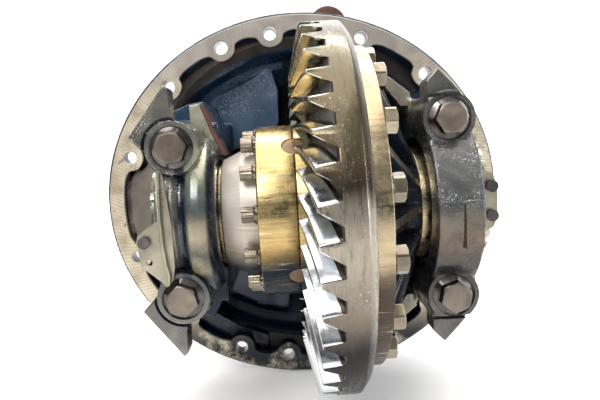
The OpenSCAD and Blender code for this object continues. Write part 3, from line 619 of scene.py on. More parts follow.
# bowl_iron: dark oily iron whose navy blue is painted shade; painted shade darker and bluer lower down and further
# in, painted glints higher up
NAVY = cast_finish("bowl_iron", (0.002, 0.012, 0.04), (0.006, 0.034, 0.085), (0.045, 0.07, 0.11), 0.35,
                   (0.25, 0.5), 240.0, coat=0.4, painted_shade=((0.1, 0.12, 0.3), (1.0, 1.0, 1.0), -70, 30),
                   painted_glints=(60, 190, 0.25), painted_depth_shade=(66, 92, 0.16))
# slate_iron: its slate blue is partly a painted reflection of the sky; painted shade darker towards the bottom,
# painted glints higher up
SLATE = cast_finish("slate_iron", (0.04, 0.085, 0.165), (0.075, 0.135, 0.235), (0.15, 0.18, 0.24), 0.3,
                    (0.28, 0.46), 300.0, 0.35, 0.4, painted_shade=((0.08, 0.1, 0.18), (1.0, 1.0, 1.0), -90, 10),
                    painted_glints=(120, 200, 0.4))
WALL = cast_finish("wall_iron", (0.07, 0.06, 0.055), (0.15, 0.125, 0.105), (0.25, 0.215, 0.18), 0.3,
                   (0.34, 0.55), 280.0, 0.35, 0.35)
ARM = cast_finish("arm_iron", (0.09, 0.085, 0.07), (0.23, 0.21, 0.165), (0.42, 0.39, 0.31), rough=(0.2, 0.42),
                  depth=0.35)
OUTER = cast_finish("outer_iron", (0.02, 0.018, 0.018), (0.05, 0.042, 0.04), (0.105, 0.085, 0.075), 0.3,
                    (0.4, 0.7), 200.0, 0.7, 0.2)
CAP_L = left_cap_finish()
# cap_brown: painted glints as near-white dots between z 12 and 78 mm
CAP_R = cast_finish("cap_brown", (0.04, 0.042, 0.044), (0.115, 0.112, 0.108), (0.26, 0.245, 0.225), 0.5,
                    (0.14, 0.4), 300.0, 0.6, 0.6, painted_glints=(12, 78, 0.9),
                    bands=((-110, (1.0, 0.95, 0.9)), (-62, (0.3, 0.28, 0.32)), (-48, (0.55, 0.42, 0.34)),
                           (-25, (0.85, 0.66, 0.52)), (-5, (0.9, 0.8, 0.66)), (6, (0.62, 0.68, 0.72)),
                           (40, (1.1, 1.15, 1.2)), (70, (0.8, 0.8, 0.8)), (110, (1.05, 1.1, 1.05))))
RIBBED = cast_finish("case_iron", (0.004, 0.01, 0.02), (0.016, 0.026, 0.042), (0.07, 0.08, 0.095), 0.6,
                     (0.2, 0.45))
# rib_edge: painted shade, darker and bluer towards the bottom
RIB_EDGE = cast_finish("rib_edge", (0.02, 0.018, 0.015), (0.07, 0.058, 0.042), (0.16, 0.135, 0.095), 0.45,
                       (0.2, 0.4), depth=0.4, painted_shade=((0.35, 0.4, 0.5), (1.1, 1.05, 1.0), -170, 60))
LUG = cast_finish("lug_iron", (0.05, 0.022, 0.018), (0.12, 0.05, 0.042), (0.2, 0.095, 0.08), 0.2, (0.4, 0.65),
                  coat=0.3)
PALE = cast_finish("pale_iron", (0.11, 0.115, 0.085), (0.33, 0.34, 0.26), (0.62, 0.61, 0.52), 0.35,
                   (0.2, 0.45), depth=0.4)
FACE = machined_face()
GOLD = golden_finish("amber_steel", (0.004, 0.012, 0.024), (0.42, 0.29, 0.12), (0.56, 0.44, 0.21))
AMBER = golden_finish("amber_flange", (0.06, 0.045, 0.034), (0.38, 0.3, 0.19), (0.52, 0.44, 0.29), 500.0)
HUB = golden_finish("hub_steel", (0.008, 0.018, 0.034), (0.42, 0.36, 0.3), (0.6, 0.57, 0.53), 900.0, 0.3, 0.5,
                    (0.38, 0.55))
RIM = wheel_rim_finish()
FLANK = flank_finish("tooth_flank", (0.6, 0.63, 0.67), (0.54, 0.52, 0.44))
TIP = flank_finish("tooth_tip", (0.46, 0.455, 0.43), (0.38, 0.34, 0.24), (0.14, 0.3))
# tooth_root: dark brown from oil, darkened further as painted shade between the teeth
ROOT = cast_finish("tooth_root", (0.008, 0.008, 0.01), (0.04, 0.032, 0.022), (0.12, 0.092, 0.05), 0.7,
                   (0.18, 0.4), depth=0.2, coat=0.6)
BOLT_TOP = steel_finish("bolt_top", (0.06, 0.048, 0.038), (0.15, 0.122, 0.098), (0.26, 0.215, 0.175), 0.6,
                        (0.3, 0.5), coat=0.25, grit=0.05)
BOLT_SIDE = steel_finish("bolt_side", (0.016, 0.014, 0.014), (0.065, 0.056, 0.056), (0.17, 0.155, 0.16), 0.85,
                         (0.16, 0.34), coat=0.5, grit=0.03)
HEAD = steel_finish("small_head", (0.09, 0.075, 0.055), (0.22, 0.185, 0.135), (0.42, 0.37, 0.28), 0.85,
                    (0.16, 0.34), coat=0.4, grit=0.03)
GROUND = steel_finish("ground_steel", (0.42, 0.4, 0.37), (0.6, 0.58, 0.54), (0.74, 0.72, 0.68), 1.0,
                      (0.14, 0.28), coat=0.4, grit=0.01)
PLATE = steel_finish("plate_steel", (0.17, 0.155, 0.115), (0.3, 0.275, 0.205), (0.44, 0.42, 0.33), 0.6,
                     (0.26, 0.42), coat=0.35, grit=0.03)
NOTCHED = steel_finish("adjuster_steel", (0.1, 0.11, 0.08), (0.26, 0.28, 0.21), (0.48, 0.5, 0.4), 0.8,
                       (0.2, 0.4), "x", 900.0, 0.5, 0.06)
BRASS = steel_finish("cage_brass", (0.4, 0.24, 0.09), (0.6, 0.4, 0.15), (0.76, 0.56, 0.26), 1.0, (0.2, 0.36))
PIN = steel_finish("pin_end", (0.06, 0.035, 0.02), (0.2, 0.12, 0.06), (0.36, 0.24, 0.12), 0.8, (0.22, 0.4),
                   "x", 600.0, 0.4, 0.03)
RUBBER = cast_finish("seal_rubber", (0.008, 0.008, 0.008), (0.018, 0.018, 0.018), (0.04, 0.038, 0.036), 0.0,
                     (0.4, 0.6), 300.0, 0.1, 0.1)


def attach(ob, body, slot, *nodes):
    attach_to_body(ob, body)
    if nodes:
        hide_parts(*nodes)


# ---------- carrier housing ----------
def oval_radius(a, rx, rz):
    return rx * rz / math.hypot(rz * math.cos(a), rx * math.sin(a))


def soft_min(a, b, k):
    h = max(k - abs(a - b), 0.0) / k
    return min(a, b) - h * h * k / 4


def inner_edge(a, out=0.0):
    """Radius of the flange's wavy inner edge: the oval, drawn in round each bolt hole."""
    r = oval_radius(a, INNER_RX + out, INNER_RZ + out)
    reach = BOSS_R - out
    for hx, hz in HOLES:
        along = hx * math.cos(a) + hz * math.sin(a)
        off = abs(hx * math.sin(a) - hz * math.cos(a))
        if along > 0 and off < reach + 34:
            near = along - math.sqrt(max(reach * reach - off * off, 0.0)) + max(0.0, off - reach * 0.8) * 1.3
            r = soft_min(r, near, 22.0)
    return r


def oval_ring(name, grow, out, y0, y1, chamfer, mats, steps=720):
    """The flange between its outer oval, grown by that much, and the wavy inner edge."""
    verts, faces = [], []
    for j in range(steps):
        a = TAU * j / steps
        ro, ri = oval_radius(a, FACE_RX + grow, FACE_RZ + grow), inner_edge(a, out)
        section = ((ri, y1), (ri, y0 + chamfer), (ri + chamfer, y0), (ro - chamfer, y0),
                   (ro, y0 + chamfer), (ro, y1))
        verts += [(r * math.cos(a), y, r * math.sin(a)) for r, y in section]
    for j in range(steps):
        k = (j + 1) % steps
        faces += [(j * 6 + i, j * 6 + (i + 1) % 6, k * 6 + (i + 1) % 6, k * 6 + i) for i in range(6)]
    return mesh_object(name, verts, faces, mats)


def hole_tools(y0, y1, chamfer):
    """Cutters for the flange holes, countersunk at the face."""
    outline = [(0, y0 - 5), (HOLE_R + chamfer + 5, y0 - 5), (HOLE_R, y0 + chamfer), (HOLE_R, y1), (0, y1)]
    return [cutter(outline, "y", hole, 40) for hole in HOLES]


def seat_tools():
    """Cutters for the two side bearing seats, each with the wider bore for its adjuster."""
    return [cutter([(0, -176), (64.6, -176), (64.6, -127), (62.6, -127), (62.6, -90), (0, -90)]),
            cutter([(0, 115), (75.1, 115), (75.1, 160), (77.1, 160), (77.1, 190), (0, 190)])]


def nose_solids():
    """The pinion's tube, its ribs and the bosses for the cage bolts."""
    solids = [spin("nose", [(74, 100), (98, 100), (98, 184), (74, 184)], "y", (PINION_X, 0), 96, round_to=0)]
    bosses = list(circle(CAGE_BOLTS, CAGE_BOLT_PCR, CAGE_TURN))
    for k, (a, c, s) in enumerate(circle(8, 1.0)):
        foot = 118 if k == 4 else 140
        rib = [(80, 95), (foot, 95), (106, 172), (80, 172)]
        verts = [(PINION_X + r * c - w * s, y, -r * s - w * c) for w in (-6, 6) for r, y in rib]
        faces = [(0, 1, 2, 3), (7, 6, 5, 4), (0, 4, 5, 1), (1, 5, 6, 2), (2, 6, 7, 3), (3, 7, 4, 0)]
        solids.append(mesh_object("rib", verts, faces))
        _, x, z = bosses[k]
        solids.append(rod(13.5, "y", (PINION_X + x, -z), 148, 184, 32))
    return solids


def build_housing():
    bowl_out = [(249, 7), (247, 30), (232, 46), (222, 64), (198, 88), (162, 110), (118, 122)]
    bowl_in = [(70, 108), (112, 108), (148, 98), (184, 78), (208, 56), (216, 36), (238, 28), (240, 7)]
    bowl = spin("bowl", [(70, 122)] + bowl_out[::-1] + bowl_in[::-1], "y", (0, 0), round_to=6)
    bowl.data.transform(Matrix.Diagonal((1, 1, INNER_RZ / INNER_RX, 1)))
    wall = [(-155, -68), (-155, 68)]
    for k in range(41):
        a = math.pi - 0.31 + 0.62 * k / 40
        r = inner_edge(a) - 5.0
        wall.append((r * math.cos(a), r * math.sin(a)))
    solids = [oval_ring("rim", 4, 1.5, 4.6, 24, 1.0, ()), bowl] + nose_solids()
    solids += [
        # bearing pedestals, the arms that brace them and the wall beside the left one
        box((-163, AXIS_Y + 0.2, -104), (-97, 60, 104)),
        box((122, AXIS_Y + 0.2, -118), (174, 40, 118)),
        prism([(124, 108), (124, 126), (98, 147), (84, 146), (118, 104)], -106, 60),
        prism([(124, -108), (124, -126), (98, -147), (84, -146), (118, -104)], -106, 60),
        prism([(-163, 100), (-103, 100), (-112, 128), (-130, 126), (-163, 112)], -104, 40),
        prism([(-163, -100), (-103, -100), (-118, -126), (-163, -112)], -100, 40),
        prism(wall, 9, 46),
        box((-214, 10, 71), (-150, 58, 85)),
        box((-214, 10, -85), (-150, 58, -71)),
    ]
    # pads and ridges inside the bowl: outline, from, to, corner radius
    relief = [
        ([(-128, 135), (-118, 145), (-35, 182), (-26, 151), (-28, 101), (-60, 92), (-98, 64)], 62, 116, 9),
        ([(-126, -134), (-69, -162), (-30, -172), (-26, -150), (-28, -101), (-98, -64)], 62, 116, 9),
        ([(-140, 151), (-103, 171), (-46, 198), (-40, 214), (-110, 190), (-160, 158)], 36, 70, 4),
        ([(-148, -156), (-134, -157), (-98, -181), (-60, -196), (-60, -212), (-120, -198), (-160, -164)],
         22, 70, 4),
        ([(60, 150), (92, 172), (60, 196), (20, 204), (20, 186)], 30, 90, 6),
        ([(190, 60), (203, 64), (203, 112), (168, 140), (150, 126)], 20, 70, 6),
        ([(190, -60), (203, -64), (203, -112), (168, -140), (150, -126)], 20, 70, 6),
    ]
    solids += [prism(outline, y0, y1, round_to=corner) for outline, y0, y1, corner in relief]
    body = cast("housing_casting", solids, 2.0, 4, [NAVY, OUTER, SLATE, WALL, ARM])
    head_room = [(0, -60), (60, -60), (78, 30), (78, 104), (0, 104)]
    tools = hole_tools(4, 60, 0.3)
    tools += [rod(76, "y", (PINION_X, 0), 60, 200, 96), cutter(head_room, "y", (PINION_X, 0)),
              cutter([(0, -95), (111, -95), (111, 121), (0, 121)])]
    tools += seat_tools()
    for _, x, z in circle(CAGE_BOLTS, CAGE_BOLT_PCR, CAGE_TURN):
        tools.append(rod(6, "y", (PINION_X + x, -z), 155, 190, 24))
    boolean(body, tools)
    paint_housing(body)
    attach(body, "carrier", "cast_dark", "carrier_housing")
    face = oval_ring("housing_face", 0, 0.0, 0, 5, 0.7, [FACE])
    attach(boolean(face, hole_tools(0, 8, 0.6)), "carrier", "cast_dark")
    lug = [rod(26, "y", (46, 230), 22, 62), box((23, 22, 205), (69, 60, 230))]
    attach(cast("lifting_lug", lug, 1.2, 6, [LUG]), "carrier", "cast_dark")
    lump = prism([(-127, 104), (-127, 124), (-116, 125), (-96, 67), (-106, 72)], -112, -96)
    attach(cast("pedestal_head", [lump], 1.0, 4, [PALE]), "carrier", "cast_dark")
    strip = prism([(-116, 124), (-111, 124), (-90, 66), (-97, 66)], -111.5, -60)
    attach(cast("pedestal_side", [strip], 1.0, 2, [LUG]), "carrier", "cast_dark")


def paint_housing(ob):
    """Regions of the casting, by slot: 0 bowl, 1 outer skin, 2 pads, 3 walls near the flange, 4 arms."""
    (x, y, z), (_, ny, _) = polygon_table(ob)
    inward = ny < -0.6
    r = np.hypot(x, z)
    back = (y > 24.5) & (r > 205 - 0.9 * np.clip(y - 60, 0, 60)) | (y > 123)
    edge = (y > 4) & (y < 25) & (np.hypot(x / (FACE_RX + 2), z / (FACE_RZ + 2)) > 1)
    index = np.zeros(len(x), np.int32)
    index[back | edge] = 1
    index[(np.abs(y - 62) < 4) & inward & (x < -20)] = 2
    index[(y < 14) & (x < -152) & (np.abs(z) < 72) & (r < 240)] = 3
    index[(y < 34) & (y > 14) & (r > 216) & (z > 60) & (x < 60) & inward] = 3
    index[(x > 82) & (x < 125) & (np.abs(z) > 100) & (y < -60)] = 4
    ob.data.polygons.foreach_set("material_index", index)


# ---------- bearing caps ----------
def build_cap(name, bolt, arch, wing, feet, mat, extra=(), groove=False):
    """Half ring with two bolt bosses, pointed wings and square feet."""
    solids = [spin("arch", arch, seg=144, round_to=2.5)]
    for s in (1, -1):
        solids.append(rod(27.5, "y", (bolt[0], s * bolt[1]), SEAT_Y - 3, AXIS_Y + 6))
        solids.append(prism([(x, s * z) for x, z in feet], -166, AXIS_Y + 6, round_to=3))
    solids += [prism([(x, s * z) for x, z in wing], -178.5, -150, round_to=1.5) for s in (1, -1)]
    solids += list(extra)
    ob = cast(name, solids, 1.0, 3, [mat])
    tools = [box((-400, AXIS_Y, -300), (400, 300, 300))] + seat_tools()
    for s in (1, -1):
        c = (bolt[0], s * bolt[1])
        tools += [rod(10.8, "y", c, -200, -100, 32), rod(22.6, "y", c, -200, SEAT_Y)]
        if groove:
            tools.append(cutter([(27.2, -200), (30.4, -200), (30.4, -169), (27.2, -169)], "y", c, 72))
    return boolean(ob, tools)


def build_caps():
    left_arch = [(60, -97), (76, -97), (82, -101), (86.5, -106), (88, -112), (88, -119), (86, -124), (80, -128),
                 (73, -131), (73, -136), (77, -140), (77, -159), (60, -159)]
    left_wing = [(-180, 90), (-141, 141), (-136.5, 137), (-136, 112), (-134, 104), (-140, 72), (-166, 76)]
    left_feet = [(-163, 55), (-112, 55), (-112, 96), (-163, 96)]
    left = build_cap("cap_left", LEFT_BOLT, left_arch, left_wing, left_feet, CAP_L, groove=True)
    attach(left, "carrier", "cap_cast", "bearing_cap_left")
    right_arch = [(72, 124), (99, 124), (99, 172), (72, 172)]
    right_wing = [(124, 90), (174, 95), (160, 117.5), (136, 143), (124, 131)]
    right_feet = [(124, 60), (174, 60), (174, 95), (160, 117), (124, 117)]
    pad = prism([(150, 10), (168, 10), (168, -38), (150, -38)], -213, -199, round_to=2)
    right = build_cap("cap_right", RIGHT_BOLT, right_arch, right_wing, right_feet, CAP_R, [pad])
    for s in (1, -1):
        low, high = sorted((s * 114.5, s * 118.5))
        boolean(right, [box((120, -190, low), (180, -173.5, high))])
    attach(right, "carrier", "cap_cast", "bearing_cap_right")
    for name, bolt, turn in (("left", LEFT_BOLT, 17), ("right", RIGHT_BOLT, 8)):
        head = hex_bolt("head", 30, 15, 21.3, 3.4, [BOLT_TOP, BOLT_SIDE, BOLT_SIDE])
        spots = [moved(bolt[0], SEAT_Y, s * bolt[1]) @ turned(90, "X") @ turned(turn * (1.4 - s), "Z")
                 for s in (1, -1)]
        heads = copies(head, "heads", spots)
        shanks = [rod(9.9, "y", (bolt[0], s * bolt[1]), SEAT_Y, -55, 32, [BOLT_SIDE]) for s in (1, -1)]
        shown = combine("cap_bolts_shown_" + name, [heads] + shanks, angle=28)
        attach(shown, "carrier", "bolt_steel", "cap_bolts_" + name)


def build_lock_plate():
    outline = [(-148, 56), (-152, 56), (-155, 6), (-163, 1), (-176, -8), (-178, -18), (-174, -40), (-156, -56),
               (-150, -63), (-144, -56), (-141, -42), (-141, 0), (-144, 30), (-146, 50)]
    plate = prism(outline, -190, -187.2, [PLATE], round_to=2.5)
    boolean(plate, [rod(3.2, "y", c, -200, -180, 24) for c in ((-169, -15), (-166, -36))])
    fold_line = [(-150.0, 54), (-151.0, 30), (-151.5, 5), (-151.0, -18), (-149.0, -38),
                 (-146.5, -50), (-147.5, -58)]
    profile = [(-2.0, 0.0), (-2.3, -3.0), (-1.2, -5.2), (1.2, -5.2), (2.3, -3.0), (2.0, 0.0)]
    verts = [(x + dx, -190 + dy, z) for x, z in fold_line for dx, dy in profile]
    n = len(profile)
    faces = []
    for j in range(len(fold_line) - 1):
        faces += [(j * n + i, j * n + i + 1, (j + 1) * n + i + 1, (j + 1) * n + i) for i in range(n - 1)]
    faces += [tuple(range(n)), tuple(range(len(verts) - 1, len(verts) - n - 1, -1))]
    fold = mesh_object("fold", verts, faces, [PLATE], angle=60)
    attach(combine("lock_plate_shown", [plate, fold]), "carrier", "plate_steel", "lock_plate_left")


# ---------- crown wheel and pinion ----------
CONE = math.atan2(WHEEL_TEETH, PINION_TEETH)
MODULE = 2 * PITCH_R / WHEEL_TEETH
OUTER_DIST = PITCH_R / math.sin(CONE)
MEAN_DIST = OUTER_DIST - 28
PRESSURE = math.radians(22)
# heights along the tooth, as shares of the root depth below zero and of the tip height above it
LEVELS = (-1.0, -0.9, -0.75, -0.55, -0.35, -0.1, 0.2, 0.45, 0.7, 0.9, 0.97, 1.0)


def half_angle(teeth, cone, t, share):
    """Half the tooth's angle about its own gear's axis, at height t as a share of the cone distance."""
    rv = math.tan(cone)
    r, rb = rv + t, rv * math.cos(PRESSURE)
    at = math.acos(rb / r) if r > rb else 0.0
    psi = share * math.pi / 2 / (teeth / math.cos(cone)) + math.tan(PRESSURE) - PRESSURE - (math.tan(at) - at)
    return psi * r / (math.sin(cone) + t * math.cos(cone))


def wheel_spiral(s):
    u = s / MEAN_DIST
    return math.tan(math.radians(SPIRAL)) / math.sin(CONE) * (math.log(u) + 0.55 * (u - 1) ** 2)


def tooth_points(teeth, cone, ded, add, share, edge, ease):
    """(height, half angle) from root to tip; edge is the tip chamfer and ease an extra inset, both in radians."""
    out = []
    for lv in LEVELS:
        t = lv * (add if lv > 0 else ded)
        a = soft_min(half_angle(teeth, cone, t, share), math.pi / teeth * 0.985, 0.25 * math.pi / teeth)
        if lv > 0.98:
            a = max(a - edge, a * 0.5)
        out.append((t - ease * 1.2, max(a - (ease if lv > -0.5 else 0.0), 0.002)))
    return out


def tooth_sections(teeth, sections, cone, ded, add, share, edge):
    """One loop of points per section; each section is (a function that places a point, its ease)."""
    loops = []
    for place_point, ease in sections:
        half = tooth_points(teeth, cone, ded, add, share, edge, ease)
        row = [(t, -a) for t, a in half] + [(t, a) for t, a in reversed(half)]
        loops.append([place_point(i, t, a) for i in range(teeth) for t, a in row])
    return loops


def band_index(k):
    """Material of the strip after profile point k: 0 flank, 1 root, 2 tip."""
    m = len(LEVELS)
    if abs(k - (m - 1)) <= 2:
        return 2
    return 1 if min(k, 2 * m - 2 - k) <= 1 else 0


def close_loops(name, loops, plain, mats, plain_mat):
    """Toothed loops followed by plain ones, closed into a torus."""
    c = len(loops[0])
    rows = loops + plain
    faces, index = [], []
    for j in range(len(rows)):
        k = (j + 1) % len(rows)
        for q in range(c):
            n = (q + 1) % c
            faces.append((j * c + q, k * c + q, k * c + n, j * c + n))
            toothed = j < len(loops) - 1
            index.append(band_index(q % (2 * len(LEVELS))) if toothed else plain_mat[j - len(loops) + 1])
    return mesh_object(name, [p for row in rows for p in row], faces, mats, index, 40)


def build_crown_wheel():
    ded, add = 1.3 * MODULE / OUTER_DIST, 0.6 * MODULE / OUTER_DIST
    sc, cc = math.sin(CONE), math.cos(CONE)

    def at_radius(r):
        def place_point(i, t, a):
            s = r / (sc + t * cc)
            turn = TAU * i / WHEEL_TEETH + wheel_spiral(s) + a
            return (PINION_X + s * (cc - t * sc), AXIS_Y + r * math.cos(turn), r * math.sin(turn))
        return place_point

    toe = TOE_R + 0.7
    radii = [(TOE_R, 0.0035), (toe, 0.0)]
    radii += [(toe + (WHEEL_R - 0.9 - TOE_R - 0.7) * k / 20, 0.0) for k in range(1, 21)]
    radii += [(WHEEL_R - 0.1, 0.0032)]
    loops = tooth_sections(WHEEL_TEETH, [(at_radius(r), e) for r, e in radii], CONE, ded, add, 0.64, 0.0035)
    outline = [(WHEEL_R - 0.1, 21.0), (WHEEL_R, 22.0), (WHEEL_R, 38.2), (WHEEL_R - 0.5, 39.4),
               (WHEEL_R - 9.4, WHEEL_BACK - 0.4), (WHEEL_R - 10.6, WHEEL_BACK), (WHEEL_BORE + 1.0, WHEEL_BACK),
               (WHEEL_BORE, WHEEL_BACK - 1), (WHEEL_BORE, 7), (WHEEL_BORE + 1.0, 6.0), (TOE_R - 5.0, 4.0),
               (TOE_R - 3.5, 4.2), (TOE_R - 0.1, 5.4)]
    angles = [math.atan2(z, y - AXIS_Y) for _, y, z in loops[-1]]
    plain = [[(x, AXIS_Y + r * math.cos(a), r * math.sin(a)) for a in angles] for r, x in outline]
    mats = [FLANK, ROOT, TIP, RIM, GROUND]
    wheel = close_loops("crown_wheel_shown", loops, plain, mats, [3] * 6 + [4] * 6 + [3, 3])
    attach(wheel, "diff_case", "wheel_steel", "crown_wheel")


def build_pinion():
    cone = math.pi / 2 - CONE
    ded, add = 0.74 * MODULE / OUTER_DIST, 1.22 * MODULE / OUTER_DIST
    sc, cc = math.sin(cone), math.cos(cone)
    lo, hi = MEAN_DIST - 30, OUTER_DIST - 1

    def at_distance(s):
        def place_point(i, t, a):
            r = s * (sc + t * cc)
            turn = (math.pi / PINION_TEETH + TAU * i / PINION_TEETH
                    - WHEEL_TEETH / PINION_TEETH * wheel_spiral(s) + a)
            return (PINION_X + r * math.cos(turn), AXIS_Y + s * (cc - t * sc), -r * math.sin(turn))
        return place_point

    steps = [(lo, 0.012), (lo + 0.7, 0.0)]
    steps += [(lo + 0.7 + (hi - lo - 1.4) * k / 22, 0.0) for k in range(1, 23)]
    steps += [(hi, 0.012)]
    loops = tooth_sections(PINION_TEETH, [(at_distance(s), e) for s, e in steps], cone, ded, add, 1.12, 0.012)
    shaft_r = 25
    plain = []
    for s in (hi, lo):
        row = []
        for x, _, z in loops[-1]:
            reach = math.hypot(x - PINION_X, z)
            row.append((PINION_X + shaft_r * (x - PINION_X) / reach, AXIS_Y + s * cc, shaft_r * z / reach))
        plain.append(row)
    teeth = close_loops("pinion_teeth", loops, plain, [FLANK, ROOT, TIP], [2, 2, 2])
    outline = [(0, 34), (31, 34), (33.2, 36), (47.2, 96), (43, 99), (43, 101), (29.95, 101), (29.95, 139.5),
               (24.95, 140.5), (24.95, 197), (22.95, 199), (22.95, 254), (18, 255), (18, 279), (16.5, 281),
               (0, 281)]
    shaft = spin("pinion_shaft", outline, "y", (PINION_X, 0), 96, [GROUND], 0.5)
    attach(combine("pinion_shown", [teeth, shaft], angle=40), "pinion", "wheel_steel", "drive_pinion")


# ---------- differential case ----------
def pin_holes():
    """Cutters for the cross shaft's four ends."""
    out = []
    for deg in PIN_TURNS:
        ob = cutter([(0, 0), (12.4, 0), (12.4, 14), (13.4, 20.0), (0, 20.0)], "y", (0, 0), 48)
        ob.data.transform(moved(0, 79, 0))
        ob.data.transform(moved(CROSS_X, AXIS_Y, 0) @ turned(deg, "X"))
        out.append(ob)
    return out


def build_left_half():
    outline = [(75, -14.3), (96, -14.3), (96, -52.5), (94.5, -54), (73, -54), (73, -60), (70, -72), (61, -92),
               (57.5, -93), (57.5, -98), (39.9, -98), (39.9, -128), (38, -130), (32, -130), (32, -90), (38.1, -90),
               (38.1, -68), (61, -68), (61, -40), (67, -14.3)]
    left = spin("case_left_shown", outline, mats=[GOLD, HUB, AMBER], round_to=1.0, seg=192)
    boolean(left, pin_holes())
    paint_along(left, [(-99.5, 3), (-92.6, 2), (-54.4, 1), (0, 0)], [GOLD, HUB, AMBER, GROUND])
    attach(left, "diff_case", "case_steel", "case_half_left")


def build_right_half():
    hub = [(61, -10), (93, -10), (93, 24), (112, 30), (112, 52), (176, 52), (176, 64), (120, 64), (84, 76),
           (66, 100), (62, 120), (62, 127), (34, 127), (34, 62), (61, 40)]
    rib_line = [(60, 58), (170, 58), (172, 66), (64, 116), (50, 116)]
    solids = [spin("hub", hub, round_to=3)]
    step = 360 / WHEEL_BOLTS
    for i in range(WHEEL_BOLTS):
        front, back = ([(x, AXIS_Y + r, w) for r, x in rib_line] for w in (-4.2, 4.2))
        rib = slab("rib", front, back)
        # each rib runs halfway between two of the wheel's bolts
        turn = turned(WHEEL_TURN + step / 2 + step * i, "X")
        rib.data.transform(moved(0, AXIS_Y, 0) @ turn @ moved(0, -AXIS_Y, 0))
        solids.append(rib)
    body = cast("case_right_casting", solids, 1.5, 3, [RIBBED])
    boolean(body, [rod(38.2, "x", (AXIS_Y, 0), -40, 62), rod(32, "x", (AXIS_Y, 0), -40, 140)])
    paint_ribs(body)
    attach(body, "diff_case", "case_steel", "case_half_right")
    outline = [(74, -13.7), (96, -13.7), (96, 21.5), (118, 26), (118, 47.2), (178, 47.2), (178, 64.8),
               (150, 65.2), (150, 52), (90, 30), (74, 0)]
    ring = spin("case_right_ring", outline, mats=[GOLD, AMBER], round_to=1.0, seg=192)
    boolean(ring, pin_holes())
    paint_along(ring, [(24, 0), (200, 1)], [GOLD, AMBER])
    attach(ring, "diff_case", "case_steel")
    outline = [(50.5, 116), (63.5, 117), (63.5, 127), (62, 128), (49.9, 128), (49.9, 161), (48, 163), (32, 163),
               (32, 116)]
    attach(spin("case_right_neck", outline, mats=[AMBER]), "diff_case", "case_steel")


def build_case_bolts():
    head = hex_bolt("head", 16.4, 16, 10, 3.0, [HEAD, HEAD, HEAD], points=12)
    spots = []
    for i, (_, y, z) in enumerate(circle(CASE_BOLTS, CASE_BOLT_PCR, CASE_TURN)):
        spots.append(moved(-54, AXIS_Y + y, z) @ turned(-90, "Y") @ Matrix.Rotation(0.7 * i, 4, "Z"))
    attach(copies(head, "case_bolts_shown", spots), "diff_case", "bolt_steel", "case_bolts")
    head = hex_bolt("head", 24, 13, 12.4, 0.8, [HEAD, HEAD, HEAD])
    spots = []
    for i, (a, y, z) in enumerate(circle(WHEEL_BOLTS, WHEEL_BOLT_PCR, WHEEL_TURN)):
        spots.append(moved(65, AXIS_Y + y, z) @ turned(90, "Y") @ Matrix.Rotation(a + 0.9 * i, 4, "Z"))
    attach(copies(head, "wheel_bolts_shown", spots), "diff_case", "bolt_steel", "crown_wheel_bolts")


def paint_ribs(ob):
    """The ribs' narrow edges take the lighter brown rib_edge finish, their sides stay dark."""
    ob.data.materials.append(RIB_EDGE)
    (x, y, z), (_, ny, nz) = polygon_table(ob)
    r = np.hypot(y - AXIS_Y, z)
    sideways = np.abs(ny * -z + nz * (y - AXIS_Y)) / np.maximum(r, 1.0)
    edge = (sideways < 0.45) & (r > 66) & (x > 66)
    ob.data.polygons.foreach_set("material_index", edge.astype(np.int32))


def paint_along(ob, limits, mats):
    """Material by place along X: each limit is (highest x, slot)."""
    ob.data.materials.clear()
    for m in mats:
        ob.data.materials.append(m)
    x = polygon_table(ob)[0][0]
    index = np.full(len(x), limits[-1][1], np.int32)
    for limit, slot in reversed(limits):
        index[x < limit] = slot
    ob.data.polygons.foreach_set("material_index", index)


# ---------- input side ----------
def build_input_side():
    c = (PINION_X, 0)
    outline = [(48, 116), (75.9, 113), (75.9, 188), (102, 188), (102, 204), (75, 204), (71, 208), (66, 214),
               (60.1, 214), (60.1, 202), (55.1, 202), (55.1, 164), (48, 164)]
    attach(spin("cage_shown", outline, "y", c, 128, [OUTER], 1.5), "carrier", "cast_dark", "pinion_cage")
    outline = [(23, 199.4), (44, 199.4), (44, 228), (46, 238), (58, 262), (90, 268), (90, 282), (55, 282),
               (55, 279), (40, 279), (40, 256), (23, 256)]
    flange = spin("input_flange_shown", outline, "y", c, 128, [OUTER], 1.2)
    hole = [(0, 250), (7, 250), (7, 281.4), (11, 285.4), (0, 285.4)]
    tools = [cutter(hole, "y", (PINION_X + x, -z), 32) for _, x, z in circle(FLANGE_HOLES, FLANGE_HOLE_PCR)]
    attach(boolean(flange, tools), "pinion", "cast_dark", "input_flange")
    nut = hex_bolt("nut", 55, 19.9, 30.5, 2.0, [HEAD, HEAD, HEAD])
    nut = copies(nut, "nut_shown", [moved(PINION_X, 260.1, 0) @ turned(-90, "X")])
    attach(boolean(nut, [rod(18.2, "y", c, 250, 290, 48)]), "pinion", "bolt_steel", "pinion_nut")
    head = hex_bolt("head", 18, 9, 11.5, 2, [HEAD, HEAD, HEAD])
    spots = []
    for k, (_, x, z) in enumerate(circle(CAGE_BOLTS, CAGE_BOLT_PCR, CAGE_TURN)):
        spots.append(moved(PINION_X + x, 204, -z) @ turned(-90, "X") @ Matrix.Rotation(0.5 * k, 4, "Z"))
    attach(copies(head, "cage_bolts_shown", spots), "carrier", "bolt_steel", "pinion_cage_bolts")


build_housing()
build_caps()
build_lock_plate()
build_crown_wheel()
build_pinion()
build_left_half()
build_right_half()
build_case_bolts()
build_input_side()

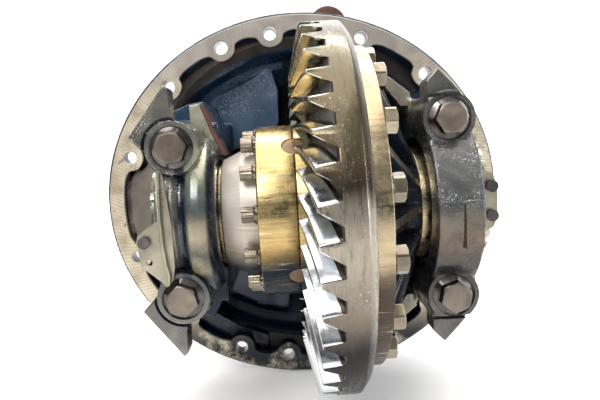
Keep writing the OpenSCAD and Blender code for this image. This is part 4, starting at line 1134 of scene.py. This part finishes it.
# ---------- finishes of the CAD nodes that are shown as they are ----------
NODE_FINISH = {
    "adjuster_ring_left": NOTCHED, "adjuster_ring_right": NOTCHED, "lock_plate_right": PLATE,
    "lock_plate_screws": BOLT_SIDE, "oil_seal": RUBBER, "cross_shaft": PIN, "side_thrust_washers": BRASS,
    "spider_thrust_washers": BRASS, "dust_deflector": PLATE,
}
for node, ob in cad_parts.items():
    ob.data.materials.clear()
    ob.data.materials.append(NODE_FINISH.get(node, BRASS if "cage" in node else GROUND))
    for p in ob.data.polygons:
        p.material_index = 0


# ---------- floor, light and camera ----------
def build_stage():
    """A pale sheet on the floor that bends up into a wall behind the camera's view."""
    f = Finish("studio_paper")
    f.set(Base_Color=f.ramp(f.noise(3.0, 2.0), (0.3, (0.84, 0.84, 0.84)), (0.7, (0.88, 0.88, 0.88))),
          Roughness=0.9, Emission_Color=(1.0, 1.0, 1.0), Emission_Strength=0.22)
    floor_z, front_y, wall_y, bend, top_z, half_width = -246.5, -5000.0, 2600.0, 900.0, 5000.0, 6000.0
    line = [(front_y, floor_z), (wall_y - bend, floor_z)]
    for t in np.linspace(0.1, math.pi / 2, 16):
        line.append((wall_y - bend + bend * math.sin(t), floor_z + bend * (1 - math.cos(t))))
    line.append((wall_y, top_z))
    verts = [(x, y, z) for x in (-half_width, half_width) for y, z in line]
    n = len(line)
    faces = [(i, i + 1, n + i + 1, n + i) for i in range(n - 1)]
    mesh_object("studio_floor", verts, faces, [f.mat], angle=60)


def area_light(name, place, aim, size, watts, colour):
    data = bpy.data.lights.new(name, "AREA")
    data.shape, data.size, data.size_y, data.energy, data.color = "RECTANGLE", size[0], size[1], watts, colour
    ob = bpy.data.objects.new(name, data)
    scene.collection.objects.link(ob)
    ob.location = place
    ob.rotation_euler = (Vector(aim) - Vector(place)).to_track_quat("-Z", "Y").to_euler()


def build_light():
    """A world that is dark near the horizon and pale overhead, and four large soft lights, in metres."""
    world = bpy.data.worlds.new("studio")
    scene.world = world
    world.use_nodes = True
    nt = world.node_tree
    back = nt.nodes["Background"]
    coord = nt.nodes.new("ShaderNodeTexCoord")
    axes = nt.nodes.new("ShaderNodeSeparateXYZ")
    ramp = nt.nodes.new("ShaderNodeValToRGB")
    nt.links.new(coord.outputs["Generated"], axes.inputs[0])
    nt.links.new(axes.outputs[2], ramp.inputs[0])
    nt.links.new(ramp.outputs[0], back.inputs["Color"])
    e = ramp.color_ramp.elements
    e[0].position, e[0].color = 0.0, (0.05, 0.06, 0.08, 1)
    e[1].position, e[1].color = 0.75, (0.95, 0.93, 0.90, 1)
    e.new(0.2).color = (0.26, 0.26, 0.27, 1)
    back.inputs["Strength"].default_value = 0.6
    area_light("key", (-0.9, -1.9, 1.7), (0, -0.1, 0), (1.4, 1.0), 42, (1.0, 0.97, 0.92))
    area_light("top", (0.3, -0.2, 2.1), (0, 0, 0), (2.2, 1.6), 36, (1.0, 0.96, 0.88))
    area_light("side", (1.9, -1.0, 0.5), (0, -0.1, 0), (0.7, 1.6), 20, (0.92, 0.96, 1.0))
    area_light("wall", (0.0, 1.2, 2.6), (0, 2.4, 0.4), (4.0, 1.2), 130, (1, 1, 1))


def build_camera():
    """The photograph's view: camera about 0.73 m in front of the flange, tipped down and rolled a little."""
    tilt, pan, roll = 0.112, -0.028, -0.056
    cx, sx, cy, sy, cz, sz = (f(v) for v in (tilt, pan, roll) for f in (math.cos, math.sin))
    turn = (Matrix(((cz, -sz, 0), (sz, cz, 0), (0, 0, 1))) @ Matrix(((1, 0, 0), (0, cx, -sx), (0, sx, cx)))
            @ Matrix(((cy, 0, sy), (0, 1, 0), (-sy, 0, cy))))
    right, down, ahead = turn @ Matrix(((1, 0, 0), (0, 0, -1), (0, 1, 0)))
    cam = bpy.data.objects.new("camera", bpy.data.cameras.new("camera"))
    scene.collection.objects.link(cam)
    cam.data.sensor_width, cam.data.lens, cam.data.clip_end = 36.0, 32.7, 100.0
    m = Matrix((right, -down, -ahead)).transposed().to_4x4()
    m.translation = Vector((-26.1, -734.2, 80.1)) * MM
    cam.matrix_world = m
    scene.camera = cam


build_stage()
build_light()
build_camera()
scene.view_settings.view_transform = "Standard"
